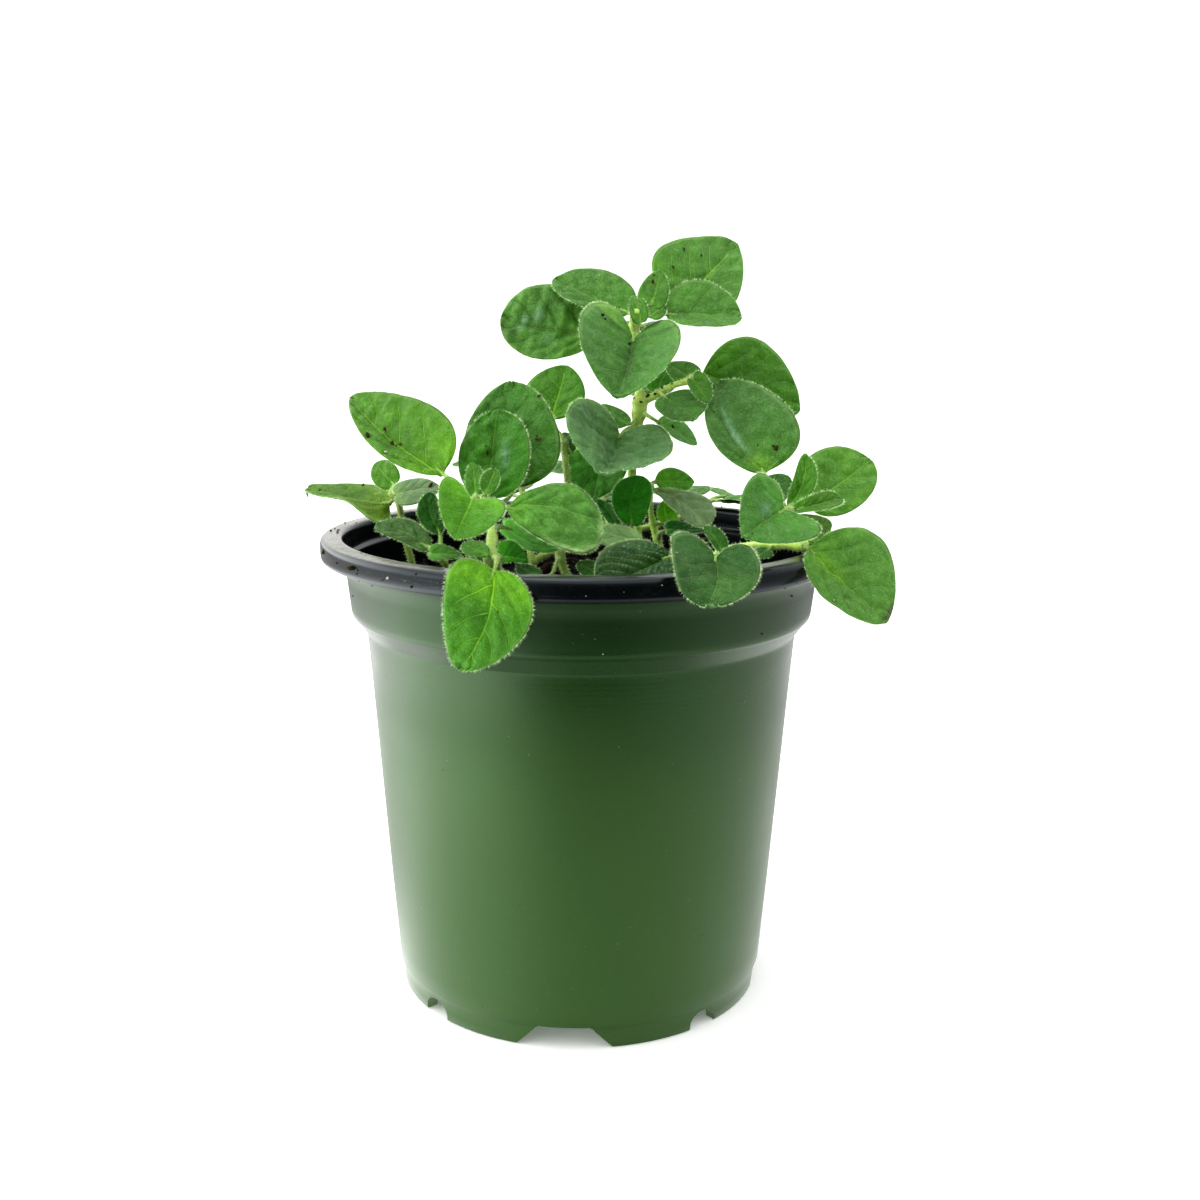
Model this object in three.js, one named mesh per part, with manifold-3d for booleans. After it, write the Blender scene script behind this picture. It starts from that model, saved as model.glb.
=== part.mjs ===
// Young oregano plant in a round plastic nursery pot.
// Millimetres, +Z up. The origin is the centre of the pot's foot, on the surface it stands on.
// The pot is one moulded piece, the growing mix is one piece, each shoot (stem, side stems and
// the unopened leaves at its tip) is one piece, and each grown leaf with its stalk is one piece.

import * as THREE from 'three';
import { mergeVertices } from 'three/addons/utils/BufferGeometryUtils.js';
import Module from 'manifold-3d';

const wasm = await Module();
wasm.setup();

// ---------------------------------------------------------------- driving dimensions
const POT_SEGMENTS = 56;        // facets round the pot
const RIM_RADIUS = 57.0;        // outside of the rolled rim (4.5 inch pot)
const POT_HEIGHT = 102.05;      // foot to top of rim
const BAND_TOP = 96.9;          // where the band meets the underside of the rim
const SHOULDER_TOP = 85.0;      // step between the band and the tapered body
const SHOULDER_BOTTOM = 81.4;
const BODY_TOP_RADIUS = 47.6;
const FOOT_RADIUS = 40.6;       // outside of the foot ring
const FOOT_INNER_RADIUS = 38.1; // inside of the foot ring
const FOOT_HEIGHT = 4.9;        // step line between the foot and the body
const FLOOR_UNDER = 5.0;        // underside of the raised pot floor
const FLOOR_TOP = 6.2;
const WALL = 0.95;              // moulded wall
const NOTCH_TURN = -3.8;        // degrees from the front to the first large drain notch
const NOTCH_BOTTOM = 20.5;      // large notch: width on the ground, width on top, height
const NOTCH_TOP = 11.0;
const NOTCH_HEIGHT = 4.6;
const ARCH_WIDTH = 7.4;         // small notch between the large ones
const ARCH_HEIGHT = 3.6;
const DRAIN_HOLE = 9.0;         // drain holes in the raised floor
const DRAIN_CIRCLE = 27.0;
const SOIL_TOP = 88.6;          // mean level of the growing mix
const SOIL_GAP = 0.45;          // clearance between the growing mix and the pot
const STEM_SIDES = 6;
const STEM_STEP = 3.0;          // length of a facet along a stem
const STEM_CLEAR = 0.45;        // clearance between a leaf stalk and its stem
const LEAF_THICK = 0.5;         // blade thickness at the midrib
const STALK_RADIUS = 0.5;

// ---------------------------------------------------------------- helpers
// Triangle soup -> solid: shared vertices merged, flat triangles dropped, faces turned outward.
function solid(geometry) {
  const g = geometry.clone();
  for (const name of Object.keys(g.attributes)) if (name !== 'position') g.deleteAttribute(name);
  const m = mergeVertices(g, 1e-4);
  const pos = m.attributes.position.array;
  const idx = [];
  const src = m.index.array;
  for (let i = 0; i < src.length; i += 3) {
    const [a, b, c] = [src[i], src[i + 1], src[i + 2]];
    if (a !== b && b !== c && a !== c) idx.push(a, b, c);
  }
  let vol = 0;
  const v = (i) => new THREE.Vector3(pos[3 * i], pos[3 * i + 1], pos[3 * i + 2]);
  for (let i = 0; i < idx.length; i += 3) vol += v(idx[i]).dot(v(idx[i + 1]).cross(v(idx[i + 2])));
  if (vol < 0) for (let i = 0; i < idx.length; i += 3) [idx[i], idx[i + 1]] = [idx[i + 1], idx[i]];
  return new wasm.Manifold(new wasm.Mesh({
    numProp: 3, vertProperties: new Float32Array(pos), triVerts: new Uint32Array(idx),
  }));
}

function geometryOf(manifold) {
  const mesh = manifold.getMesh();
  const g = new THREE.BufferGeometry();
  const n = mesh.numProp;
  const p = new Float32Array((mesh.vertProperties.length / n) * 3);
  for (let i = 0; i < p.length / 3; i++) for (let k = 0; k < 3; k++) p[3 * i + k] = mesh.vertProperties[n * i + k];
  g.setAttribute('position', new THREE.BufferAttribute(p, 3));
  g.setIndex(new THREE.BufferAttribute(new Uint32Array(mesh.triVerts), 1));
  g.computeVertexNormals();
  return g;
}

// A profile of [radius, height] pairs turned round the Z axis.
function turned(profile, segments) {
  const g = new THREE.LatheGeometry(profile.map(([r, z]) => new THREE.Vector2(r, z)), segments);
  g.rotateX(Math.PI / 2);
  return g;
}

// ---------------------------------------------------------------- pot
const POT_INNER = [            // inside wall, bottom to top
  [FOOT_RADIUS - 0.1, FLOOR_TOP],
  [BODY_TOP_RADIUS - WALL - 0.3, SHOULDER_BOTTOM - 1.6],
  [BODY_TOP_RADIUS - WALL, SHOULDER_BOTTOM],
  [49.05, SHOULDER_TOP],
  [51.1, BAND_TOP - 0.4],
  [51.9, POT_HEIGHT - 1.4],
  [52.4, POT_HEIGHT - 0.35],
];
const POT_OUTER = [            // outside wall, ground to rim
  [FOOT_RADIUS, 0],
  [FOOT_RADIUS + 0.25, FOOT_HEIGHT - 0.3],
  [41.45, FOOT_HEIGHT + 0.2],
  [BODY_TOP_RADIUS - 0.3, SHOULDER_BOTTOM - 1.6],
  [BODY_TOP_RADIUS + 0.1, SHOULDER_BOTTOM],
  [49.9, SHOULDER_TOP],
  [50.3, SHOULDER_TOP + 0.8],
  [52.1, BAND_TOP - 1.7],
  [53.0, BAND_TOP],
  [55.9, BAND_TOP + 0.4],
  [RIM_RADIUS - 0.15, BAND_TOP + 1.1],
  [RIM_RADIUS, BAND_TOP + 2.4],
  [RIM_RADIUS - 0.25, POT_HEIGHT - 1.5],
  [RIM_RADIUS - 1.1, POT_HEIGHT - 0.55],
  [RIM_RADIUS - 2.6, POT_HEIGHT - 0.05],
  [53.2, POT_HEIGHT],
];

function pot() {
  const profile = [[0, FLOOR_UNDER], [FOOT_INNER_RADIUS, FLOOR_UNDER], [FOOT_INNER_RADIUS, 0],
    ...POT_OUTER, ...[...POT_INNER].reverse(), [0, FLOOR_TOP]];
  let body = solid(turned(profile, POT_SEGMENTS));
  const cutAt = (shape, degrees) => {
    const g = new THREE.ExtrudeGeometry(shape, { depth: 12, bevelEnabled: false, curveSegments: 5 });
    g.rotateX(Math.PI / 2);              // outline upright, cut along -Y
    g.translate(0, -33, 0);
    g.rotateZ(THREE.MathUtils.degToRad(degrees));
    body = body.subtract(solid(g));
  };
  const trapezoid = new THREE.Shape([
    new THREE.Vector2(-NOTCH_BOTTOM / 2, -1), new THREE.Vector2(NOTCH_BOTTOM / 2, -1),
    new THREE.Vector2(NOTCH_BOTTOM / 2 - 0.4, 0), new THREE.Vector2(NOTCH_TOP / 2 + 0.4, NOTCH_HEIGHT - 0.4),
    new THREE.Vector2(NOTCH_TOP / 2 - 0.4, NOTCH_HEIGHT), new THREE.Vector2(-NOTCH_TOP / 2 + 0.4, NOTCH_HEIGHT),
    new THREE.Vector2(-NOTCH_TOP / 2 - 0.4, NOTCH_HEIGHT - 0.4), new THREE.Vector2(-NOTCH_BOTTOM / 2 + 0.4, 0),
  ]);
  const a = ARCH_WIDTH / 2, h = ARCH_HEIGHT;
  const arch = new THREE.Shape([
    new THREE.Vector2(-a, -1), new THREE.Vector2(a, -1), new THREE.Vector2(a - 0.2, h * 0.5),
    new THREE.Vector2(a * 0.72, h * 0.85), new THREE.Vector2(a * 0.35, h), new THREE.Vector2(-a * 0.35, h),
    new THREE.Vector2(-a * 0.72, h * 0.85), new THREE.Vector2(-a + 0.2, h * 0.5),
  ]);
  for (let i = 0; i < 4; i++) {
    cutAt(trapezoid, NOTCH_TURN + 90 * i);
    cutAt(arch, NOTCH_TURN + 45 + 90 * i);
  }
  const hole = (x, y, d) => {
    const g = new THREE.CylinderGeometry(d / 2, d / 2, 6, 16);
    g.rotateX(Math.PI / 2);
    g.translate(x, y, FLOOR_UNDER + 0.6);
    body = body.subtract(solid(g));
  };
  hole(0, 0, DRAIN_HOLE);
  for (let i = 0; i < 4; i++) {
    const t = THREE.MathUtils.degToRad(NOTCH_TURN + 90 * i - 90);
    hole(DRAIN_CIRCLE * Math.cos(t), DRAIN_CIRCLE * Math.sin(t), DRAIN_HOLE);
  }
  return geometryOf(body);
}

// ---------------------------------------------------------------- growing mix
// Height of the growing mix at a place: nearly level, heaped against the wall at the back right.
function soilTop(x, y) {
  return SOIL_TOP + 0.55 * Math.sin(0.21 * x + 1.3) * Math.cos(0.17 * y)
    + 5.2 * Math.exp(-((x - 31) ** 2 + (y - 36) ** 2) / (2 * 10.5 ** 2));
}

function potInnerRadius(z) {
  for (let i = 1; i < POT_INNER.length; i++) {
    const [r0, z0] = POT_INNER[i - 1], [r1, z1] = POT_INNER[i];
    if (z <= z1) return r0 + ((r1 - r0) * (z - z0)) / (z1 - z0);
  }
  return POT_INNER[POT_INNER.length - 1][0];
}

function soil() {
  const n = 36, rings = [];
  for (const [r, z] of [[POT_INNER[0][0], FLOOR_TOP + 0.4], [POT_INNER[1][0], POT_INNER[1][1]],
    [POT_INNER[2][0], POT_INNER[2][1] + 0.1], [POT_INNER[3][0], POT_INNER[3][1]]]) {
    rings.push({ r: r - SOIL_GAP, z });
  }
  const pts = [], tri = [];
  const add = (x, y, z) => pts.push(x, y, z) / 3 - 1;
  const ringIds = rings.map(({ r, z }) => Array.from({ length: n }, (_, i) => {
    const t = (2 * Math.PI * i) / n;
    return add(r * Math.cos(t), r * Math.sin(t), z);
  }));
  for (const f of [1, 0.86, 0.68, 0.5, 0.32, 0.15]) {
    ringIds.push(Array.from({ length: n }, (_, i) => {
      const t = (2 * Math.PI * i) / n, c = Math.cos(t), s = Math.sin(t);
      const z = soilTop(48.5 * f * c, 48.5 * f * s);
      const r = f * (potInnerRadius(z) - SOIL_GAP);
      return add(r * c, r * s, z);
    }));
  }
  const bottom = add(0, 0, FLOOR_TOP + 0.4), top = add(0, 0, soilTop(0, 0));
  for (let i = 0; i < n; i++) {
    const j = (i + 1) % n;
    tri.push(bottom, ringIds[0][j], ringIds[0][i]);
    for (let k = 0; k + 1 < ringIds.length; k++) {
      const a = ringIds[k], b = ringIds[k + 1];
      tri.push(a[i], a[j], b[j], a[i], b[j], b[i]);
    }
    const last = ringIds[ringIds.length - 1];
    tri.push(last[i], last[j], top);
  }
  const g = new THREE.BufferGeometry();
  g.setAttribute('position', new THREE.BufferAttribute(new Float32Array(pts), 3));
  g.setIndex(tri);
  return geometryOf(solid(g));
}

// ---------------------------------------------------------------- stems
// A stem follows a smooth curve through its points with one thickness.
function stemTube(points, radius) {
  const curve = new THREE.CatmullRomCurve3(points.map((p) => new THREE.Vector3(...p)), false, 'centripetal');
  const steps = Math.max(4, Math.round(curve.getLength() / STEM_STEP));
  const outline = new THREE.Shape(Array.from({ length: STEM_SIDES }, (_, i) => {
    const t = (2 * Math.PI * i) / STEM_SIDES;
    return new THREE.Vector2(radius * Math.cos(t), radius * Math.sin(t));
  }));
  return new THREE.ExtrudeGeometry(outline, { steps, bevelEnabled: false, extrudePath: curve });
}

// ---------------------------------------------------------------- leaves
// Half outline of a blade. s runs from the stalk (0) to the tip (1) along the edge.
function edgePoint(s, L, W, f) {
  const th = Math.PI * s;
  const x = L * (0.5 - 0.5 * Math.cos(th)) - f.lobe * L * 9.48 * s * (1 - s) ** 3;
  const w = (u) => Math.max(0, Math.sin(Math.PI * u)) ** (1 + f.point * u * u) * (1 + f.egg * Math.cos(Math.PI * u));
  let widest = 0;
  for (let i = 0; i <= 100; i++) widest = Math.max(widest, w(i / 100));
  return [x, (W * w(s)) / widest];
}

// A point of the blade's middle surface: s along the blade, side -1 right edge, 0 midrib, 1 left edge.
function bladePoint(s, side, f) {
  let x = f.length * (0.5 - 0.5 * Math.cos(Math.PI * s)), y = 0;
  if (side !== 0) {
    const [xe, ye] = edgePoint(s, f.length, side > 0 ? f.left : f.right, f);
    x = xe; y = side * ye;
  }
  const t = x / f.length, W = (f.left + f.right) / 2;
  const z = -f.droop * f.length * t * Math.abs(t) + (f.cup * y * y) / W + f.fold * (Math.sqrt(y * y + 0.36) - 0.6);
  const tc = Math.min(1, Math.max(0, t));
  return new THREE.Vector3(x, y + 4 * f.arch * f.length * tc * (1 - tc), z);
}

// Blade and stalk in the leaf's own frame: +X to the tip, +Z out of the upper face.
function leafGeometry(f, stalkStart, rows) {
  const rings = [];
  const dir = stalkStart.clone().negate().normalize();
  const across = new THREE.Vector3(0, 1, 0).addScaledVector(dir, -dir.y).normalize();
  const up = dir.clone().cross(across);
  const r = STALK_RADIUS;
  for (const [p, k] of [[stalkStart, 1], [dir.clone().multiplyScalar(-0.25), 0.6]]) {
    rings.push([p.clone().addScaledVector(across, r * k), p.clone().addScaledVector(up, r * k),
      p.clone().addScaledVector(across, -r * k), p.clone().addScaledVector(up, -r * k)]);
  }
  for (const s of rows) {
    const c = bladePoint(s, 0, f), l = bladePoint(s, 1, f), q = bladePoint(s, -1, f);
    const half = (LEAF_THICK / 2) * (1 - 0.55 * s);
    rings.push([l, c.clone().add(new THREE.Vector3(0, 0, half)), q, c.clone().add(new THREE.Vector3(0, 0, -half))]);
  }
  const pos = [], tri = [];
  for (const ring of rings) for (const p of ring) pos.push(p.x, p.y, p.z);
  const tip = bladePoint(1, 0, f);
  pos.push(tip.x, tip.y, tip.z);
  for (let i = 0; i + 1 < rings.length; i++) {
    for (let k = 0; k < 4; k++) {
      const a = 4 * i + k, b = 4 * i + ((k + 1) % 4), c = a + 4, d = b + 4;
      tri.push(a, b, d, a, d, c);
    }
  }
  tri.push(0, 2, 1, 0, 3, 2);
  const n = 4 * (rings.length - 1), t = 4 * rings.length;
  for (let k = 0; k < 4; k++) tri.push(n + k, n + ((k + 1) % 4), t);
  const g = new THREE.BufferGeometry();
  g.setAttribute('position', new THREE.BufferAttribute(new Float32Array(pos), 3));
  g.setIndex(tri);
  return g;
}

const ROWS = [0.10, 0.19, 0.29, 0.42, 0.56, 0.70, 0.82, 0.92];
const ROWS_SMALL = [0.08, 0.22, 0.42, 0.64, 0.84];

function leafPlacement(row) {
  const [, , x, y, z, yaw, pitch, roll] = row;
  const d = THREE.MathUtils.degToRad;
  return { position: new THREE.Vector3(x, y, z), rotation: new THREE.Euler(d(roll), d(pitch), d(yaw), 'ZYX') };
}

function leafForm(row) {
  const [, , , , , , , , length, left, right, egg, lobe, arch, point, droop, cup, fold] = row;
  return { length, left, right, egg, lobe, arch, point, droop, cup, fold };
}

// Where the stalk leaves its stem, in the leaf's own frame. inset > 0 runs into the stem.
function stalkStart(row, place, inset) {
  const [node, radius] = [new THREE.Vector3(...row[18]), row[19]];
  const toNode = node.clone().sub(place.position);
  const distance = toNode.length();
  const reach = inset ? distance : Math.max(0.5, distance - radius - STEM_CLEAR - 0.6);
  const start = place.position.clone().addScaledVector(toNode.normalize(), reach);
  const m = new THREE.Matrix4().compose(place.position, new THREE.Quaternion().setFromEuler(place.rotation), new THREE.Vector3(1, 1, 1));
  return start.applyMatrix4(m.invert());
}

// ---------------------------------------------------------------- the plant
// Stems: piece, radius, points from the crown upward.
const STEMS = [
  ['stem_main', 1.15, [[12.6, 3.2, 89.3], [12.8, 3.2, 91.2], [12.98, 3, 93.34], [11.92, 2, 104.35], [10.89, 1, 114.48], [11.44, 0.5, 122.21], [12.4, 0, 130.92], [11.19, -0.5, 139.49], [10.67, -1, 145.83], [12.32, -1, 150.46]]],
  ['stem_main', 0.8, [[12.41, 0, 130.49], [15.62, -0.6, 131.84], [19.27, -0.5, 134], [22.74, 0, 135.08], [24.91, 0.4, 135.72]]],
  ['stem_front', 1, [[-15.5, -29, 89.4], [-15.3, -29.6, 91.4], [-14.86, -33, 95.53], [-15.83, -41, 101], [-16.73, -44, 103.85], [-16.74, -41, 107.42], [-18.1, -38, 111.44], [-20.29, -37, 114.01]]],
  ['stem_left', 0.9, [[-36.2, -2.5, 89.6], [-36.6, -2.6, 91.6], [-37.78, -3, 96.69], [-39.21, -3, 102.45], [-39.82, -4, 108.09], [-41.27, -4, 111.79]]],
  ['stem_right', 0.95, [[20.5, -30.5, 89.5], [20.9, -30.5, 91.6], [22.14, -30, 95.25], [27.26, -27, 101.3], [34.09, -25, 103.08], [40.53, -25.5, 103.42], [45.14, -26, 103.33], [43.93, -25, 106.86], [41.57, -25, 110.52]]],
  ['stem_right', 0.9, [[20.8, -30.8, 90.4], [22.2, -33.5, 92], [23.69, -37, 94.62], [24.93, -40, 99.18], [26.42, -42, 103.08]]],
  ['stem_centre', 0.9, [[14.4, -7.2, 89.5], [14.3, -7.4, 91.6], [13.06, -9, 95.93], [11.87, -11, 100.83], [10.51, -13, 104.36]]],
  ['stem_centre', 0.8, [[14.6, -7.2, 90.4], [16.8, -7.6, 93], [17.84, -8, 96.67], [16.02, -8, 102.56], [14.63, -8, 109.06], [14.79, -7.6, 113.32]]],
  ['stem_mid', 0.9, [[0.5, -26.5, 89.5], [0.3, -27.2, 91.2], [-0.99, -30, 94.65], [-4.08, -28, 101.22], [-2.69, -20, 111.56], [-3.94, -13, 123.26]]],
  ['stem_front', 0.8, [[-16.3, -28.9, 90.2], [-20, -27.5, 91.6], [-26.15, -26, 95.33], [-27.1, -28, 98.99], [-28.67, -28, 102.05]]],
  ['stem_back', 0.95, [[-12, 16.6, 89.5], [-12, 16.8, 90.8], [-12, 17, 92], [-13.5, 21, 100], [-14.5, 24, 107], [-15, 26, 113]]],
  ['stem_back', 0.95, [[-12, 17, 91.6], [0, 26, 95], [14, 31, 98], [26, 31, 102], [30, 31, 105]]],
];

// Leaves: name, stem, x y z of the blade's base, yaw pitch roll (degrees), length, left and right
// half width, egg shape, lobes, sideways arch, point, droop, cup, fold, point on the stem, stem radius.
const LEAVES = [
  ['top_leaf_left', 'stem_main', 9.32, 1.5, 149.67, 156.1, -22.1, -36.3, 19, 5, 7.4, 0.02, 0.08, -0.001, 0.19, 0.035, 0.05, 0.181, [11.5, -1, 148.15], 1.15, 'grey'],
  ['top_leaf_left_lower', 'stem_main', 3.48, 5.5, 145.56, 168.8, -6.6, -67.7, 22.5, 7.3, 10, -0.04, 0, 0.049, 0.5, 0.036, 0.05, 0.042, [10.76, -0.91, 144.72], 1.15, 'dark'],
  ['top_leaf_front', 'stem_main', 10.7, -5, 144.12, -99.6, 26.6, -12.2, 22.9, 9.6, 11.2, -0.18, 0.3, 0.019, 0.4, 0.067, 0.05, 0.733, [10.71, -0.96, 145.36], 1.15, 'mid'],
  ['top_leaf_right_upper', 'stem_main', 18.55, 2, 151.71, 33, -37.1, 55.3, 22.8, 10.9, 9.2, 0.44, 0, -0.051, 0.12, 0.072, 0.05, 0.143, [12.28, -1, 150.35], 1.15, 'mid'],
  ['top_leaf_right', 'stem_main', 18.24, -1, 149.17, 3.8, -1, 41.4, 15.8, 7.8, 6.5, 0.07, 0.07, 0.023, 0, 0.05, 0.05, 0.297, [12.04, -1, 149.65], 1.15, 'mid'],
  ['main_leaf_front', 'stem_main', 8.16, -7, 123.97, -103.3, 22.1, -20.8, 24.3, 10.9, 11.8, -0.18, 0.26, 0.029, 0.57, -0.161, 0.05, 0.575, [11.73, 0.35, 124.82], 1.15, 'grey'],
  ['main_leaf_right', 'stem_main', 16.23, -4, 126.61, 4.9, 24.5, 35.4, 9.9, 3.9, 3.4, 0.18, 0, -0.009, 0.31, 0.114, 0.05, 0.138, [12.11, 0.15, 128.3], 1.15, 'grey'],
  ['main_leaf_back_right', 'stem_main', 15.84, 4, 132.41, 54.1, -48.4, 23.6, 8, 3.4, 3.7, 0.17, 0.05, -0.005, 0.22, 0.094, 0.05, 0.027, [12.4, 0, 130.92], 1.15, 'dark'],
  ['branch_leaf_front', 'stem_main', 17.46, -3.7, 131.94, -49.4, 25, 21.7, 10.3, 6.6, 4.9, 0.03, 0.04, 0.023, 0.23, 0.013, 0.05, 0.037, [16.62, -0.57, 132.43], 0.8, 'grey'],
  ['branch_leaf_right', 'stem_main', 26.48, 8.3, 136.18, -13, 17.2, 51.9, 22.8, 12.1, 9.6, 0.33, 0.02, 0.032, 0.2, 0.074, 0.05, 0.066, [24.91, 0.4, 135.72], 0.8, 'dark'],
  ['right_leaf_tall', 'stem_right', 37.68, -18, 117.32, 126.9, -54.6, -32.4, 25.5, 4.3, 13.2, 0.24, 0.01, 0.119, 0, 0.256, 0.05, 0.113, [41.57, -25, 110.52], 0.95, 'mid'],
  ['mid_leaf_tall', 'stem_mid', -6.64, -11, 127.5, 70.3, -52.6, 13.9, 14.3, 7.1, 5.8, 0.27, 0, -0.02, 0.17, 0.08, 0.05, 0.112, [-3.94, -13, 123.26], 0.9, 'young'],
  ['main_leaf_low_left', 'stem_main', 4.12, -2, 121.43, -110.9, 64.8, -6.5, 12.2, 6.4, 7.8, 0.18, 0.02, 0.026, 0.84, 0.111, 0.05, 0.097, [11.24, 0.68, 119.5], 1.15, 'dark'],
  ['centre_leaf_upright', 'stem_centre', 10.54, -15, 105.83, 43, -74.8, 48.4, 10.4, 4.3, 4, -0.16, 0.06, 0.096, 0, 0.073, 0.05, 0.007, [10.51, -13, 104.36], 0.9, 'dark'],
  ['centre_leaf_left', 'stem_centre', 7.69, -15, 105.13, 144.9, -44.6, -62.7, 8, 1.3, 1.5, 0.1, 0.06, -0.047, 0.24, 0.078, 0.05, 0.01, [10.51, -13, 104.36], 0.9, 'dark'],
  ['centre_leaf_right_upper', 'stem_centre', 15.86, -6, 113.95, 6.6, -2.2, 45.6, 8.4, 3.5, 3.3, 0.12, 0, -0.006, 0.33, 0.09, 0.05, 0.023, [14.79, -7.6, 113.32], 0.8, 'mid'],
  ['centre_leaf_right_lower', 'stem_centre', 15.14, -10, 112.8, -39.2, 23.7, 15.3, 15.5, 5.5, 3.8, -0.4, 0, 0.112, 0.29, 0.039, 0.05, -0.014, [14.79, -7.6, 113.32], 0.8, 'grey'],
  ['centre_leaf_arched', 'stem_centre', 18.17, -14, 104.53, 6.3, -2.9, 23.9, 7.6, 3.1, 2.8, 0.44, 0.1, 0.031, 0.31, 0.096, 0.05, 0.087, [16.34, -8, 101.53], 0.8, 'dark'],
  ['right_leaf_over_rim', 'stem_right', 25.47, -50, 105.08, -101.2, 25.1, -10.4, 15.1, 7.6, 9, 0.1, 0.38, 0.079, 0.75, 0.028, 0.05, 0.223, [26.42, -42, 103.08], 0.9, 'young'],
  ['right_leaf_front', 'stem_right', 39.51, -37, 112.15, -131.3, 16.6, -44.2, 13.6, 8.6, 8.2, 0.36, 0.27, -0.017, 0.37, -0.008, 0.05, 0.297, [43.2, -25, 108], 0.95, 'mid'],
  ['right_leaf_folded_upright', 'stem_right', 41.91, -26.5, 111.53, 19.7, -73.3, 50.1, 11, 2, 2.8, -0.05, 0, -0.12, 0.33, 0.059, 0.05, 0.32, [41.57, -25, 110.52], 0.95, 'mid'],
  ['right_leaf_folded_low', 'stem_right', 43.13, -31, 111.57, 23.7, -14, 38.3, 10.5, 2.1, 2.7, -0.4, 0.23, -0.034, 0, 0.097, 0.05, 0.473, [41.81, -25, 110.15], 0.95, 'mid'],
  ['right_leaf_outer', 'stem_right', 46.68, -22, 110.65, 28.6, -31.6, 49, 18.6, 8.3, 6.5, 0.06, 0.03, -0.002, 0, 0.081, 0.05, 0.102, [41.87, -25, 110.06], 0.95, 'mid'],
  ['right_leaf_inner', 'stem_right', 46.25, -21.5, 106.17, 25.4, -7.9, 71.2, 6.7, 3.2, 3.5, 0.26, 0.53, -0.051, 0, 0.101, 0.05, -0.04, [44.23, -25.25, 105.98], 0.95, 'mid'],
  ['right_leaf_hanging', 'stem_right', 45.49, -32, 103.77, -16.9, 39.4, 37, 21, 12.6, 7.6, 0.22, 0, -0.012, 0.16, 0.04, 0.05, 0.168, [45.14, -26, 103.33], 0.95, 'mid'],
  ['front_leaf_low_left', 'stem_front', -20.01, -47.5, 114.89, -103.3, 30, -29.3, 11.2, 6.4, 6.5, 0.23, 0.22, 0.001, 0.15, 0.002, 0.05, 0.481, [-19.09, -37.55, 112.6], 1, 'young'],
  ['front_leaf_upright', 'stem_front', -17.74, -35, 113.86, 83.9, -64.6, -1.5, 18.8, 6.4, 7.9, 0.06, 0.04, 0.013, 0, 0.097, 0.05, 0.078, [-19.85, -37.2, 113.5], 1, 'young'],
  ['front_leaf_back', 'stem_front', -13.52, -26.5, 114.84, 96.4, -68.2, -6.7, 22.8, 8.2, 11.2, 0.24, 0, 0.065, 0, 0.077, 0.05, 0.058, [-18.1, -38, 111.44], 1, 'dark'],
  ['front_leaf_far_left', 'stem_front', -26.9, -35, 118.58, 141.6, -29.5, -36.8, 30.5, 4.4, 10, 0.34, 0, 0.053, 0.22, 0.075, 0.05, 0.266, [-20.29, -37, 114.01], 1, 'young'],
  ['front_leaf_right', 'stem_front', -13.69, -38, 112.36, 6.4, 10, 52.6, 19.3, 5.9, 8.9, -0.32, 0, 0.12, 0.08, 0.116, 0.05, -0.112, [-17.97, -38.3, 111.04], 1, 'mid'],
  ['left_leaf_outer', 'stem_left', -42.9, 2, 107.71, 165.8, -4, -15.5, 19.7, 6, 6.2, 0.36, 0.15, 0, 0.35, 0.06, 0.06, 0.16, [-41.08, -4, 111.33], 0.9, 'mid'],
  ['left_leaf_inner', 'stem_left', -39.57, -8, 110.98, 7.8, -11.5, 37.9, 9.2, 3.7, 4.3, 0.16, 0.15, 0.032, 0.17, 0.066, 0.05, -0.065, [-40.9, -4, 110.87], 0.9, 'grey'],
  ['front_leaf_dark', 'stem_front', -28.66, -24, 104.87, 132.9, -65, -37.2, 9.1, 2.6, 2.4, -0.13, 0, 0.088, 0.07, 0.078, 0.05, 0.009, [-28.44, -28, 101.59], 0.8, 'dark'],
  ['front_leaf_long', 'stem_front', -31.4, -25, 102.56, 160.7, -19.2, -42.8, 12.3, 2.6, 2.9, -0.06, 0.12, -0.082, 0, 0.072, 0.05, 0.123, [-28.44, -28, 101.59], 0.8, 'grey'],
  ['front_leaf_hanging', 'stem_front', -15.39, -54.5, 102.86, -134.2, 56.4, -32.4, 18.2, 8.3, 9.4, 0.32, 0.09, 0.12, 0.37, 0.4, 0.05, 0.006, [-16.48, -43.17, 103.07], 1, 'young'],
  ['front_leaf_small', 'stem_front', -14.77, -39.6, 102.87, 12.6, 9, 51.8, 5.1, 3.4, 1.3, 0.24, 0.35, 0.078, 0.23, 0.125, 0.05, 0.135, [-16.66, -43.77, 103.64], 1.9, 'mid'],
  ['front_leaf_shaded', 'stem_front', -14.65, -32.5, 107.64, 1.7, 19.1, 49.1, 11.9, 2.6, 2.2, 0.43, 0.15, -0.12, 0.13, 0.057, 0.05, 0.035, [-16.74, -41.67, 106.62], 1, 'grey'],
  ['right_leaf_broad_low', 'stem_right', 17.5, -38, 103.16, -156.6, 19.3, -33.9, 15.9, 6.7, 8.3, -0.03, 0.04, -0.015, 0.53, 0.05, -0.05, 0.027, [24.93, -40, 99.18], 0.9, 'grey'],
  ['centre_leaf_low', 'stem_centre', 12.17, -24, 103.84, 165.1, -14.2, -43.4, 9.4, 3.5, 2.8, 0.14, 0, 0.045, 0.08, 0.058, 0.05, -0.054, [12.02, -10.75, 100.22], 0.9, 'grey'],
  ['back_leaf_upper', 'stem_back', -15.6, 29.5, 114.5, 100, -22, 6, 16.5, 6.75, 6.75, 0.22, 0.08, 0.01, 0.25, 0.1, 0.04, 0.12, [-15, 26, 112.5], 0.95, 'mid'],
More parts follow.
